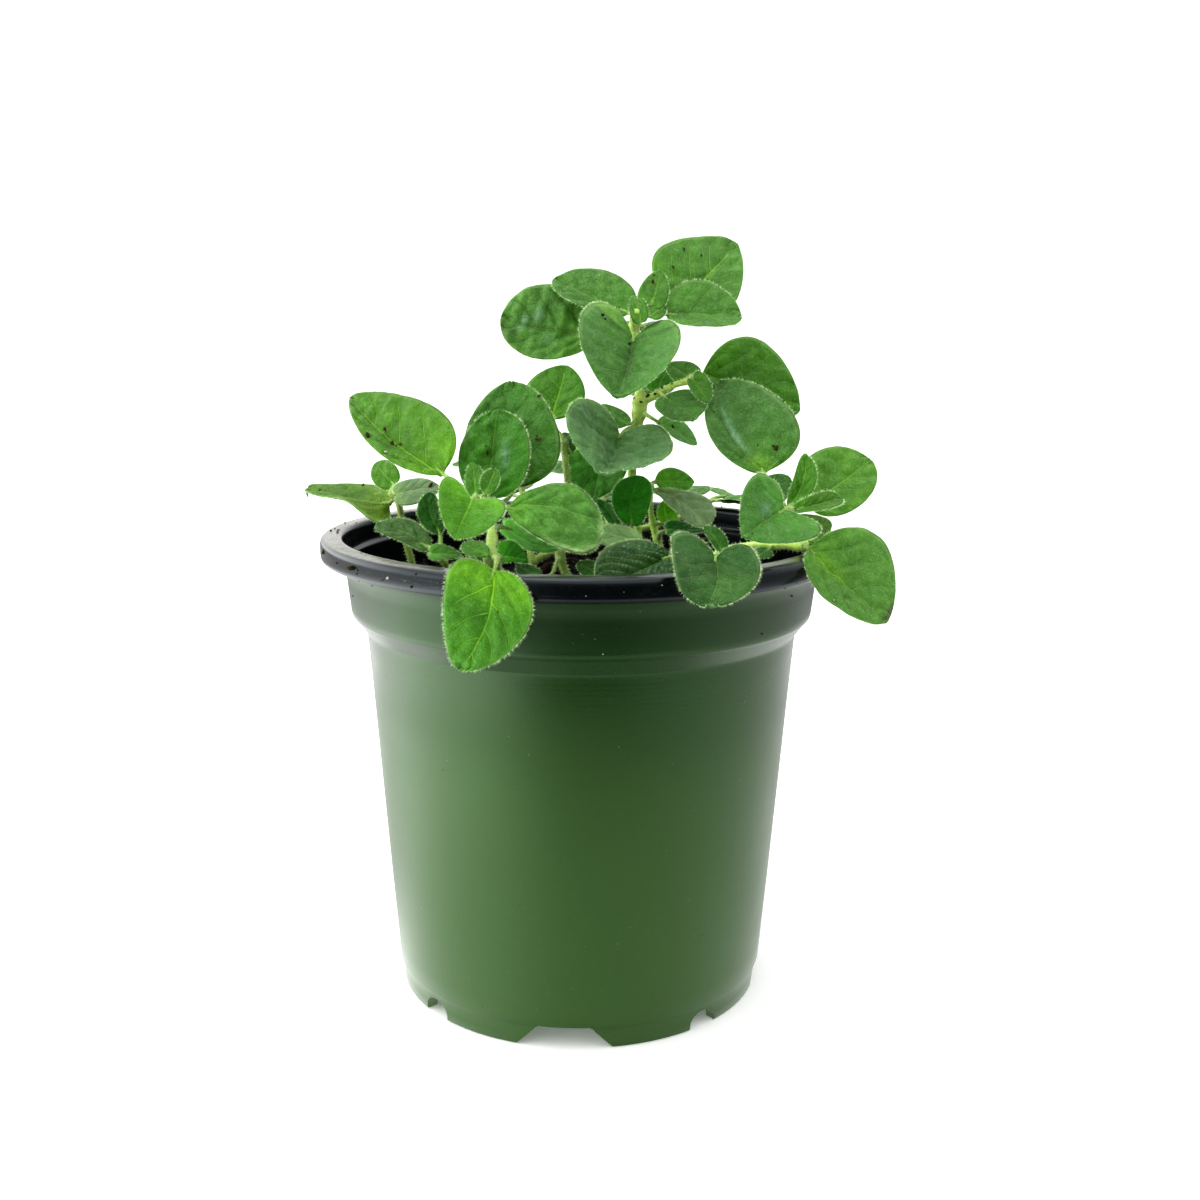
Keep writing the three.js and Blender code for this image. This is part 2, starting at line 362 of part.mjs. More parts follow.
  ['back_leaf_left', 'stem_back', -18.5, 25.5, 113.5, 190, -8, -8, 12.5, 5.5, 5.5, 0.22, 0.08, 0.01, 0.25, 0.1, 0.04, 0.12, [-15, 26, 112.5], 0.95, 'mid'],
  ['back_leaf_inner', 'stem_back', -11.4, 25, 113, 345, -2, 8, 13, 5.75, 5.75, 0.22, 0.08, 0.01, 0.25, 0.1, 0.04, 0.12, [-15, 25.8, 112], 0.95, 'dark'],
  ['back_leaf_rim_left', 'stem_back', -18, 31, 106.2, 118, 2, -6, 23, 9, 9, 0.22, 0.08, 0.01, 0.25, 0.14, 0.04, 0.12, [-14.3, 23.5, 105.5], 0.95, 'mid'],
  ['back_leaf_rim_middle', 'stem_back', 4, 42, 107.6, 86, 8, 4, 22.5, 9, 9, 0.22, 0.08, 0.01, 0.25, 0.2, 0.04, 0.12, [6, 28.5, 96.5], 0.95, 'mid'],
  ['back_leaf_rim_right', 'stem_back', 34.5, 36, 105.6, 50, 6, 6, 19.5, 8.25, 8.25, 0.22, 0.08, 0.01, 0.25, 0.2, 0.04, 0.12, [30, 31, 104.6], 0.95, 'mid'],
  ['back_leaf_middle', 'stem_back', 27.5, 35, 105.8, 118, -4, -5, 13.5, 6, 6, 0.22, 0.08, 0.01, 0.25, 0.1, 0.04, 0.12, [29.3, 31, 104.3], 0.95, 'dark'],
  ['back_leaf_right', 'stem_back', 33.5, 28, 105.6, -32, -3, 0, 14.5, 6.25, 6.25, 0.22, 0.08, 0.01, 0.25, 0.1, 0.04, 0.12, [30, 30.8, 104.6], 0.95, 'mid'],
  ['top_leaf_back', 'stem_main', 13.2, 4.2, 146.8, 93, -4, 0, 13, 4.75, 4.75, 0.22, 0.08, 0.01, 0.25, 0.1, 0.04, 0.12, [12.6, -0.8, 146], 1.15, 'mid'],
  ['main_leaf_back', 'stem_main', 13, 4.5, 131.5, 98, -26, 4, 16, 6.25, 6.25, 0.22, 0.08, 0.01, 0.25, 0.1, 0.04, 0.12, [12.4, 0, 130.4], 1.15, 'mid'],
];

// Young leaves that are still part of the shoot.
const BUDS = [
  ['top_bud_leaf_1', 'stem_main', 14.46, -2, 151.34, 59.7, -60.4, 35.2, 8.4, 3.5, 3, 0.28, 0.19, -0.023, 0.18, 0.077, 0.05, -0.011, [12.32, -1, 150.46], 1.15],
  ['top_bud_leaf_2', 'stem_main', 14.06, -4, 148.72, 41.5, -30, 46.3, 5.6, 2, 2, 0.27, 0.06, -0.001, 0.25, 0.068, 0.05, 0, [12.2, -1, 150.12], 1.15],
  ['top_bud_leaf_3', 'stem_main', 12.24, -4, 147.64, 123, -58.9, -47.5, 6.4, 1.9, 2.2, 0.07, 0.14, -0.029, 0.21, 0.078, 0.05, 0.019, [12.24, -1, 150.23], 1.15],
  ['main_bud_leaf', 'stem_main', 9.95, -3, 125.82, 136.4, -27.9, -40.1, 9.1, 3, 2.2, 0.27, 0, 0.051, 0.27, 0.058, 0.05, -0.038, [12.04, 0.19, 127.65], 1.15],
  ['branch_bud_leaf_1', 'stem_main', 23.48, -5.5, 135.59, -52.1, 42.3, 60.2, 6.5, 2.8, 1.7, 0.04, 0.27, 0.004, 0.28, 0.076, 0.05, 0.003, [23.55, 0.15, 135.32], 0.8],
  ['branch_bud_leaf_2', 'stem_main', 23.25, 1, 135.49, 143.9, -29.1, -36.4, 7.4, 2.9, 3.7, 0.35, 0.2, -0.013, 0.26, 0.093, 0.05, 0.037, [23.99, 0.23, 135.45], 0.8],
  ['mid_bud_leaf_1', 'stem_mid', -2.19, -14, 120.87, 122.9, -44.1, -58.2, 5.5, 2.2, 2, 0.31, 0.1, -0.033, 0.25, 0.091, 0.05, 0.01, [-3.85, -13.52, 122.38], 0.9],
  ['centre_bud_leaf', 'stem_centre', 18.24, -10, 106.25, 101.7, -62.9, -2, 4.6, 2, 2.5, 0.4, 0.21, 0.047, 0.2, 0.086, 0.05, -0.01, [15.57, -8, 104.67], 0.8],
  ['right_bud_leaf_1', 'stem_right', 27.17, -43.8, 105.16, 160.4, -52.7, -56.7, 5.7, 1.1, 1.9, -0.04, 0.24, -0.051, 0, 0.084, 0.05, 0.035, [26.42, -42, 103.08], 0.9],
  ['right_bud_leaf_2', 'stem_right', 40.61, -26, 112.31, 96.4, -58.9, -4.4, 6.5, 3.3, 2.6, -0.33, 0, 0.031, 0.02, 0.097, 0.05, 0.118, [41.57, -25, 110.52], 0.95],
  ['right_bud_leaf_3', 'stem_right', 38.07, -27, 102.84, -137.7, 17.3, -22, 3.9, 2, 1.8, 0.2, 0.01, 0.005, 0.29, 0.029, 0.05, -0.065, [39.57, -25.43, 103.37], 0.95],
  ['front_bud_leaf_1', 'stem_front', -20.11, -38.7, 114.59, 111.2, -69.9, -30.9, 6.7, 1.9, 2.1, 0.16, 0.04, -0.025, 0.2, 0.074, 0.05, -0.005, [-20.13, -37.08, 113.82], 1],
  ['front_bud_leaf_2', 'stem_front', -18.05, -39.4, 115.35, 57.4, -52.8, 37.6, 5.6, 1.9, 1.7, 0.12, 0.02, 0.003, 0.22, 0.076, 0.05, 0.216, [-19.96, -37.15, 113.63], 1],
  ['left_bud_leaf_1', 'stem_left', -41.12, -2, 112.38, 148.4, -36.9, -62.2, 7.2, 2.9, 3.2, -0.01, 0.11, 0.009, 0.26, 0.091, 0.05, 0.041, [-41.16, -4, 111.52], 0.9],
  ['front_bud_leaf_4', 'stem_front', -29.42, -34, 102.46, 4.6, -0.3, 28.7, 6.3, 2.8, 2.4, 0.49, 0.11, 0, 0.34, 0.098, 0.05, 0.106, [-28.12, -28, 100.98], 0.8],
  ['front_bud_leaf_3', 'stem_front', -17.02, -46.3, 104.37, 150.6, -18, -35.7, 6.4, 2, 2.1, 0.06, 0, 0.018, 0.14, 0.075, 0.05, 0.041, [-16.62, -43.62, 103.49], 1],
  ['mid_bud_leaf_2', 'stem_mid', -7.75, -40, 99.41, 151.2, -21.5, -35.6, 5.5, 2.1, 1.6, 0.26, 0.03, 0.053, 0.19, 0.058, 0.05, -0.069, [-3.92, -28.1, 100.89], 0.9],
  ['mid_bud_leaf_3', 'stem_mid', 3.6, -38, 99.61, 159.2, -23.5, -46.2, 4.8, 2, 1.9, 0.22, 0.09, 0.003, 0.24, 0.079, 0.05, -0.004, [-1.76, -29.5, 96.29], 0.9],
];

const LEAF_GREEN = { young: 0x6f9f3a, mid: 0x4f8a35, dark: 0x2f6a2c, grey: 0x5f7f57 };

// ---------------------------------------------------------------- assembly
const plant = new THREE.Group();

function piece(name, geometry, colour, roughness, metalness) {
  const mesh = new THREE.Mesh(geometry, new THREE.MeshStandardMaterial({ color: colour, roughness, metalness }));
  mesh.name = name;
  return mesh;
}

plant.add(piece('nursery_pot', pot(), 0x3f7436, 0.42, 0.0));
plant.add(piece('growing_mix', soil(), 0x1d1611, 0.95, 0.0));

const foliage = new THREE.Group();
plant.add(foliage);

for (const name of [...new Set(STEMS.map(([piece]) => piece))]) {
  let body = null;
  for (const [, radius, points] of STEMS.filter(([piece]) => piece === name)) {
    const tube = solid(stemTube(points, radius));
    body = body ? body.add(tube) : tube;
  }
  for (const row of BUDS.filter((b) => b[1] === name)) {
    const place = leafPlacement(row);
    const g = leafGeometry(leafForm(row), stalkStart(row, place, true), ROWS_SMALL);
    g.applyMatrix4(new THREE.Matrix4().compose(place.position,
      new THREE.Quaternion().setFromEuler(place.rotation), new THREE.Vector3(1, 1, 1)));
    body = body.add(solid(g));
  }
  foliage.add(piece(name, geometryOf(body), 0x9fb86a, 0.75, 0.0));
}

for (const row of LEAVES) {
  const place = leafPlacement(row);
  const leaf = piece(row[0], geometryOf(solid(leafGeometry(leafForm(row), stalkStart(row, place, false), ROWS))),
    LEAF_GREEN[row[20]], 0.7, 0.0);
  leaf.position.copy(place.position);
  leaf.rotation.copy(place.rotation);
  foliage.add(leaf);
}

export default plant;
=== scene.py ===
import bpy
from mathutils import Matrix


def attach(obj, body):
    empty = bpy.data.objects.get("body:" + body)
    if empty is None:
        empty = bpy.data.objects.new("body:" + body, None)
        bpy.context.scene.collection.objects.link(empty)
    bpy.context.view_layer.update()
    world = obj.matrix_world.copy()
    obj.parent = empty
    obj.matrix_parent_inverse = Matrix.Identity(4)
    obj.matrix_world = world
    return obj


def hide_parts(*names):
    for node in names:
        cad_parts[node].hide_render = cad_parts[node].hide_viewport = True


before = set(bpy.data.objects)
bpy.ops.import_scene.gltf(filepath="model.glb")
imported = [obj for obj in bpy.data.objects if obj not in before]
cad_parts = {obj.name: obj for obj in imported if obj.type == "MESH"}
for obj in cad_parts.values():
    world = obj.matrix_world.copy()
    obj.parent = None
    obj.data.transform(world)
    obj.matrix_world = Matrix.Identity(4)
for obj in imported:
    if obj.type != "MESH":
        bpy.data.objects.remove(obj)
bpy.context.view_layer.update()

import math

import bmesh
import bpy
import numpy as np
from mathutils import Matrix

MM = 0.001
ROOT = "root"

# ------------------------------------------------------------------ measured tables (millimetres)
# Stems: CAD node, radius, points from the crown upward.
STEMS = [
    ("stem_main", 1.15, [(12.6, 3.2, 89.3), (12.8, 3.2, 91.2), (12.98, 3, 93.34), (11.92, 2, 104.35), (10.89, 1, 114.48), (11.44, 0.5, 122.21), (12.4, 0, 130.92), (11.19, -0.5, 139.49), (10.67, -1, 145.83), (12.32, -1, 150.46)]),
    ("stem_main", 0.8, [(12.41, 0, 130.49), (15.62, -0.6, 131.84), (19.27, -0.5, 134), (22.74, 0, 135.08), (24.91, 0.4, 135.72)]),
    ("stem_front", 1, [(-15.5, -29, 89.4), (-15.3, -29.6, 91.4), (-14.86, -33, 95.53), (-15.83, -41, 101), (-16.73, -44, 103.85), (-16.74, -41, 107.42), (-18.1, -38, 111.44), (-20.29, -37, 114.01)]),
    ("stem_left", 0.9, [(-36.2, -2.5, 89.6), (-36.6, -2.6, 91.6), (-37.78, -3, 96.69), (-39.21, -3, 102.45), (-39.82, -4, 108.09), (-41.27, -4, 111.79)]),
    ("stem_right", 0.95, [(20.5, -30.5, 89.5), (20.9, -30.5, 91.6), (22.14, -30, 95.25), (27.26, -27, 101.3), (34.09, -25, 103.08), (40.53, -25.5, 103.42), (45.14, -26, 103.33), (43.93, -25, 106.86), (41.57, -25, 110.52)]),
    ("stem_right", 0.9, [(20.8, -30.8, 90.4), (22.2, -33.5, 92), (23.69, -37, 94.62), (24.93, -40, 99.18), (26.42, -42, 103.08)]),
    ("stem_centre", 0.9, [(14.4, -7.2, 89.5), (14.3, -7.4, 91.6), (13.06, -9, 95.93), (11.87, -11, 100.83), (10.51, -13, 104.36)]),
    ("stem_centre", 0.8, [(14.6, -7.2, 90.4), (16.8, -7.6, 93), (17.84, -8, 96.67), (16.02, -8, 102.56), (14.63, -8, 109.06), (14.79, -7.6, 113.32)]),
    ("stem_mid", 0.9, [(0.5, -26.5, 89.5), (0.3, -27.2, 91.2), (-0.99, -30, 94.65), (-4.08, -28, 101.22), (-2.69, -20, 111.56), (-3.94, -13, 123.26)]),
    ("stem_front", 0.8, [(-16.3, -28.9, 90.2), (-20, -27.5, 91.6), (-26.15, -26, 95.33), (-27.1, -28, 98.99), (-28.67, -28, 102.05)]),
    ("stem_back", 0.95, [(-12, 16.6, 89.5), (-12, 16.8, 90.8), (-12, 17, 92), (-13.5, 21, 100), (-14.5, 24, 107), (-15, 26, 113)]),
    ("stem_back", 0.95, [(-12, 17, 91.6), (0, 26, 95), (14, 31, 98), (26, 31, 102), (30, 31, 105)]),
]

# Leaves: name, stem, base x y z, yaw pitch roll (degrees), length, left and right half width, egg shape,
# lobes, sideways arch, point, droop, cup, fold, point on the stem, stem radius, tone.
LEAVES = [
    ("top_leaf_left", "stem_main", 9.32, 1.5, 149.67, 156.1, -22.1, -36.3, 19, 5, 7.4, 0.02, 0.08, -0.001, 0.19, 0.035, 0.05, 0.181, (11.5, -1, 148.15), 1.15, "grey"),
    ("top_leaf_left_lower", "stem_main", 3.48, 5.5, 145.56, 168.8, -6.6, -67.7, 22.5, 7.3, 10, -0.04, 0, 0.049, 0.5, 0.036, 0.05, 0.042, (10.76, -0.91, 144.72), 1.15, "dark"),
    ("top_leaf_front", "stem_main", 10.7, -5, 144.12, -99.6, 26.6, -12.2, 22.9, 9.6, 11.2, -0.18, 0.3, 0.019, 0.4, 0.067, 0.05, 0.733, (10.71, -0.96, 145.36), 1.15, "mid"),
    ("top_leaf_right_upper", "stem_main", 18.55, 2, 151.71, 33, -37.1, 55.3, 22.8, 10.9, 9.2, 0.44, 0, -0.051, 0.12, 0.072, 0.05, 0.143, (12.28, -1, 150.35), 1.15, "mid"),
    ("top_leaf_right", "stem_main", 18.24, -1, 149.17, 3.8, -1, 41.4, 15.8, 7.8, 6.5, 0.07, 0.07, 0.023, 0, 0.05, 0.05, 0.297, (12.04, -1, 149.65), 1.15, "mid"),
    ("main_leaf_front", "stem_main", 8.16, -7, 123.97, -103.3, 22.1, -20.8, 24.3, 10.9, 11.8, -0.18, 0.26, 0.029, 0.57, -0.161, 0.05, 0.575, (11.73, 0.35, 124.82), 1.15, "grey"),
    ("main_leaf_right", "stem_main", 16.23, -4, 126.61, 4.9, 24.5, 35.4, 9.9, 3.9, 3.4, 0.18, 0, -0.009, 0.31, 0.114, 0.05, 0.138, (12.11, 0.15, 128.3), 1.15, "grey"),
    ("main_leaf_back_right", "stem_main", 15.84, 4, 132.41, 54.1, -48.4, 23.6, 8, 3.4, 3.7, 0.17, 0.05, -0.005, 0.22, 0.094, 0.05, 0.027, (12.4, 0, 130.92), 1.15, "dark"),
    ("branch_leaf_front", "stem_main", 17.46, -3.7, 131.94, -49.4, 25, 21.7, 10.3, 6.6, 4.9, 0.03, 0.04, 0.023, 0.23, 0.013, 0.05, 0.037, (16.62, -0.57, 132.43), 0.8, "grey"),
    ("branch_leaf_right", "stem_main", 26.48, 8.3, 136.18, -13, 17.2, 51.9, 22.8, 12.1, 9.6, 0.33, 0.02, 0.032, 0.2, 0.074, 0.05, 0.066, (24.91, 0.4, 135.72), 0.8, "dark"),
    ("right_leaf_tall", "stem_right", 37.68, -18, 117.32, 126.9, -54.6, -32.4, 25.5, 4.3, 13.2, 0.24, 0.01, 0.119, 0, 0.256, 0.05, 0.113, (41.57, -25, 110.52), 0.95, "mid"),
    ("mid_leaf_tall", "stem_mid", -6.64, -11, 127.5, 70.3, -52.6, 13.9, 14.3, 7.1, 5.8, 0.27, 0, -0.02, 0.17, 0.08, 0.05, 0.112, (-3.94, -13, 123.26), 0.9, "young"),
    ("main_leaf_low_left", "stem_main", 4.12, -2, 121.43, -110.9, 64.8, -6.5, 12.2, 6.4, 7.8, 0.18, 0.02, 0.026, 0.84, 0.111, 0.05, 0.097, (11.24, 0.68, 119.5), 1.15, "dark"),
    ("centre_leaf_upright", "stem_centre", 10.54, -15, 105.83, 43, -74.8, 48.4, 10.4, 4.3, 4, -0.16, 0.06, 0.096, 0, 0.073, 0.05, 0.007, (10.51, -13, 104.36), 0.9, "dark"),
    ("centre_leaf_left", "stem_centre", 7.69, -15, 105.13, 144.9, -44.6, -62.7, 8, 1.3, 1.5, 0.1, 0.06, -0.047, 0.24, 0.078, 0.05, 0.01, (10.51, -13, 104.36), 0.9, "dark"),
    ("centre_leaf_right_upper", "stem_centre", 15.86, -6, 113.95, 6.6, -2.2, 45.6, 8.4, 3.5, 3.3, 0.12, 0, -0.006, 0.33, 0.09, 0.05, 0.023, (14.79, -7.6, 113.32), 0.8, "mid"),
    ("centre_leaf_right_lower", "stem_centre", 15.14, -10, 112.8, -39.2, 23.7, 15.3, 15.5, 5.5, 3.8, -0.4, 0, 0.112, 0.29, 0.039, 0.05, -0.014, (14.79, -7.6, 113.32), 0.8, "grey"),
    ("centre_leaf_arched", "stem_centre", 18.17, -14, 104.53, 6.3, -2.9, 23.9, 7.6, 3.1, 2.8, 0.44, 0.1, 0.031, 0.31, 0.096, 0.05, 0.087, (16.34, -8, 101.53), 0.8, "dark"),
    ("right_leaf_over_rim", "stem_right", 25.47, -50, 105.08, -101.2, 25.1, -10.4, 15.1, 7.6, 9, 0.1, 0.38, 0.079, 0.75, 0.028, 0.05, 0.223, (26.42, -42, 103.08), 0.9, "young"),
    ("right_leaf_front", "stem_right", 39.51, -37, 112.15, -131.3, 16.6, -44.2, 13.6, 8.6, 8.2, 0.36, 0.27, -0.017, 0.37, -0.008, 0.05, 0.297, (43.2, -25, 108), 0.95, "mid"),
    ("right_leaf_folded_upright", "stem_right", 41.91, -26.5, 111.53, 19.7, -73.3, 50.1, 11, 2, 2.8, -0.05, 0, -0.12, 0.33, 0.059, 0.05, 0.32, (41.57, -25, 110.52), 0.95, "mid"),
    ("right_leaf_folded_low", "stem_right", 43.13, -31, 111.57, 23.7, -14, 38.3, 10.5, 2.1, 2.7, -0.4, 0.23, -0.034, 0, 0.097, 0.05, 0.473, (41.81, -25, 110.15), 0.95, "mid"),
    ("right_leaf_outer", "stem_right", 46.68, -22, 110.65, 28.6, -31.6, 49, 18.6, 8.3, 6.5, 0.06, 0.03, -0.002, 0, 0.081, 0.05, 0.102, (41.87, -25, 110.06), 0.95, "mid"),
    ("right_leaf_inner", "stem_right", 46.25, -21.5, 106.17, 25.4, -7.9, 71.2, 6.7, 3.2, 3.5, 0.26, 0.53, -0.051, 0, 0.101, 0.05, -0.04, (44.23, -25.25, 105.98), 0.95, "mid"),
    ("right_leaf_hanging", "stem_right", 45.49, -32, 103.77, -16.9, 39.4, 37, 21, 12.6, 7.6, 0.22, 0, -0.012, 0.16, 0.04, 0.05, 0.168, (45.14, -26, 103.33), 0.95, "mid"),
    ("front_leaf_low_left", "stem_front", -20.01, -47.5, 114.89, -103.3, 30, -29.3, 11.2, 6.4, 6.5, 0.23, 0.22, 0.001, 0.15, 0.002, 0.05, 0.481, (-19.09, -37.55, 112.6), 1, "young"),
    ("front_leaf_upright", "stem_front", -17.74, -35, 113.86, 83.9, -64.6, -1.5, 18.8, 6.4, 7.9, 0.06, 0.04, 0.013, 0, 0.097, 0.05, 0.078, (-19.85, -37.2, 113.5), 1, "young"),
    ("front_leaf_back", "stem_front", -13.52, -26.5, 114.84, 96.4, -68.2, -6.7, 22.8, 8.2, 11.2, 0.24, 0, 0.065, 0, 0.077, 0.05, 0.058, (-18.1, -38, 111.44), 1, "dark"),
    ("front_leaf_far_left", "stem_front", -26.9, -35, 118.58, 141.6, -29.5, -36.8, 30.5, 4.4, 10, 0.34, 0, 0.053, 0.22, 0.075, 0.05, 0.266, (-20.29, -37, 114.01), 1, "young"),
    ("front_leaf_right", "stem_front", -13.69, -38, 112.36, 6.4, 10, 52.6, 19.3, 5.9, 8.9, -0.32, 0, 0.12, 0.08, 0.116, 0.05, -0.112, (-17.97, -38.3, 111.04), 1, "mid"),
    ("left_leaf_outer", "stem_left", -42.9, 2, 107.71, 165.8, -4, -15.5, 19.7, 6, 6.2, 0.36, 0.15, 0, 0.35, 0.06, 0.06, 0.16, (-41.08, -4, 111.33), 0.9, "mid"),
    ("left_leaf_inner", "stem_left", -39.57, -8, 110.98, 7.8, -11.5, 37.9, 9.2, 3.7, 4.3, 0.16, 0.15, 0.032, 0.17, 0.066, 0.05, -0.065, (-40.9, -4, 110.87), 0.9, "grey"),
    ("front_leaf_dark", "stem_front", -28.66, -24, 104.87, 132.9, -65, -37.2, 9.1, 2.6, 2.4, -0.13, 0, 0.088, 0.07, 0.078, 0.05, 0.009, (-28.44, -28, 101.59), 0.8, "dark"),
    ("front_leaf_long", "stem_front", -31.4, -25, 102.56, 160.7, -19.2, -42.8, 12.3, 2.6, 2.9, -0.06, 0.12, -0.082, 0, 0.072, 0.05, 0.123, (-28.44, -28, 101.59), 0.8, "grey"),
    ("front_leaf_hanging", "stem_front", -15.39, -54.5, 102.86, -134.2, 56.4, -32.4, 18.2, 8.3, 9.4, 0.32, 0.09, 0.12, 0.37, 0.4, 0.05, 0.006, (-16.48, -43.17, 103.07), 1, "young"),
    ("front_leaf_small", "stem_front", -14.77, -39.6, 102.87, 12.6, 9, 51.8, 5.1, 3.4, 1.3, 0.24, 0.35, 0.078, 0.23, 0.125, 0.05, 0.135, (-16.66, -43.77, 103.64), 1.9, "mid"),
    ("front_leaf_shaded", "stem_front", -14.65, -32.5, 107.64, 1.7, 19.1, 49.1, 11.9, 2.6, 2.2, 0.43, 0.15, -0.12, 0.13, 0.057, 0.05, 0.035, (-16.74, -41.67, 106.62), 1, "grey"),
    ("right_leaf_broad_low", "stem_right", 17.5, -38, 103.16, -156.6, 19.3, -33.9, 15.9, 6.7, 8.3, -0.03, 0.04, -0.015, 0.53, 0.05, -0.05, 0.027, (24.93, -40, 99.18), 0.9, "grey"),
    ("centre_leaf_low", "stem_centre", 12.17, -24, 103.84, 165.1, -14.2, -43.4, 9.4, 3.5, 2.8, 0.14, 0, 0.045, 0.08, 0.058, 0.05, -0.054, (12.02, -10.75, 100.22), 0.9, "grey"),
    ("back_leaf_upper", "stem_back", -15.6, 29.5, 114.5, 100, -22, 6, 16.5, 6.75, 6.75, 0.22, 0.08, 0.01, 0.25, 0.1, 0.04, 0.12, (-15, 26, 112.5), 0.95, "mid"),
    ("back_leaf_left", "stem_back", -18.5, 25.5, 113.5, 190, -8, -8, 12.5, 5.5, 5.5, 0.22, 0.08, 0.01, 0.25, 0.1, 0.04, 0.12, (-15, 26, 112.5), 0.95, "mid"),
    ("back_leaf_inner", "stem_back", -11.4, 25, 113, 345, -2, 8, 13, 5.75, 5.75, 0.22, 0.08, 0.01, 0.25, 0.1, 0.04, 0.12, (-15, 25.8, 112), 0.95, "dark"),
    ("back_leaf_rim_left", "stem_back", -18, 31, 106.2, 118, 2, -6, 23, 9, 9, 0.22, 0.08, 0.01, 0.25, 0.14, 0.04, 0.12, (-14.3, 23.5, 105.5), 0.95, "mid"),
    ("back_leaf_rim_middle", "stem_back", 4, 42, 107.6, 86, 8, 4, 22.5, 9, 9, 0.22, 0.08, 0.01, 0.25, 0.2, 0.04, 0.12, (6, 28.5, 96.5), 0.95, "mid"),
    ("back_leaf_rim_right", "stem_back", 34.5, 36, 105.6, 50, 6, 6, 19.5, 8.25, 8.25, 0.22, 0.08, 0.01, 0.25, 0.2, 0.04, 0.12, (30, 31, 104.6), 0.95, "mid"),
    ("back_leaf_middle", "stem_back", 27.5, 35, 105.8, 118, -4, -5, 13.5, 6, 6, 0.22, 0.08, 0.01, 0.25, 0.1, 0.04, 0.12, (29.3, 31, 104.3), 0.95, "dark"),
    ("back_leaf_right", "stem_back", 33.5, 28, 105.6, -32, -3, 0, 14.5, 6.25, 6.25, 0.22, 0.08, 0.01, 0.25, 0.1, 0.04, 0.12, (30, 30.8, 104.6), 0.95, "mid"),
    ("top_leaf_back", "stem_main", 13.2, 4.2, 146.8, 93, -4, 0, 13, 4.75, 4.75, 0.22, 0.08, 0.01, 0.25, 0.1, 0.04, 0.12, (12.6, -0.8, 146), 1.15, "mid"),
    ("main_leaf_back", "stem_main", 13, 4.5, 131.5, 98, -26, 4, 16, 6.25, 6.25, 0.22, 0.08, 0.01, 0.25, 0.1, 0.04, 0.12, (12.4, 0, 130.4), 1.15, "mid"),
]

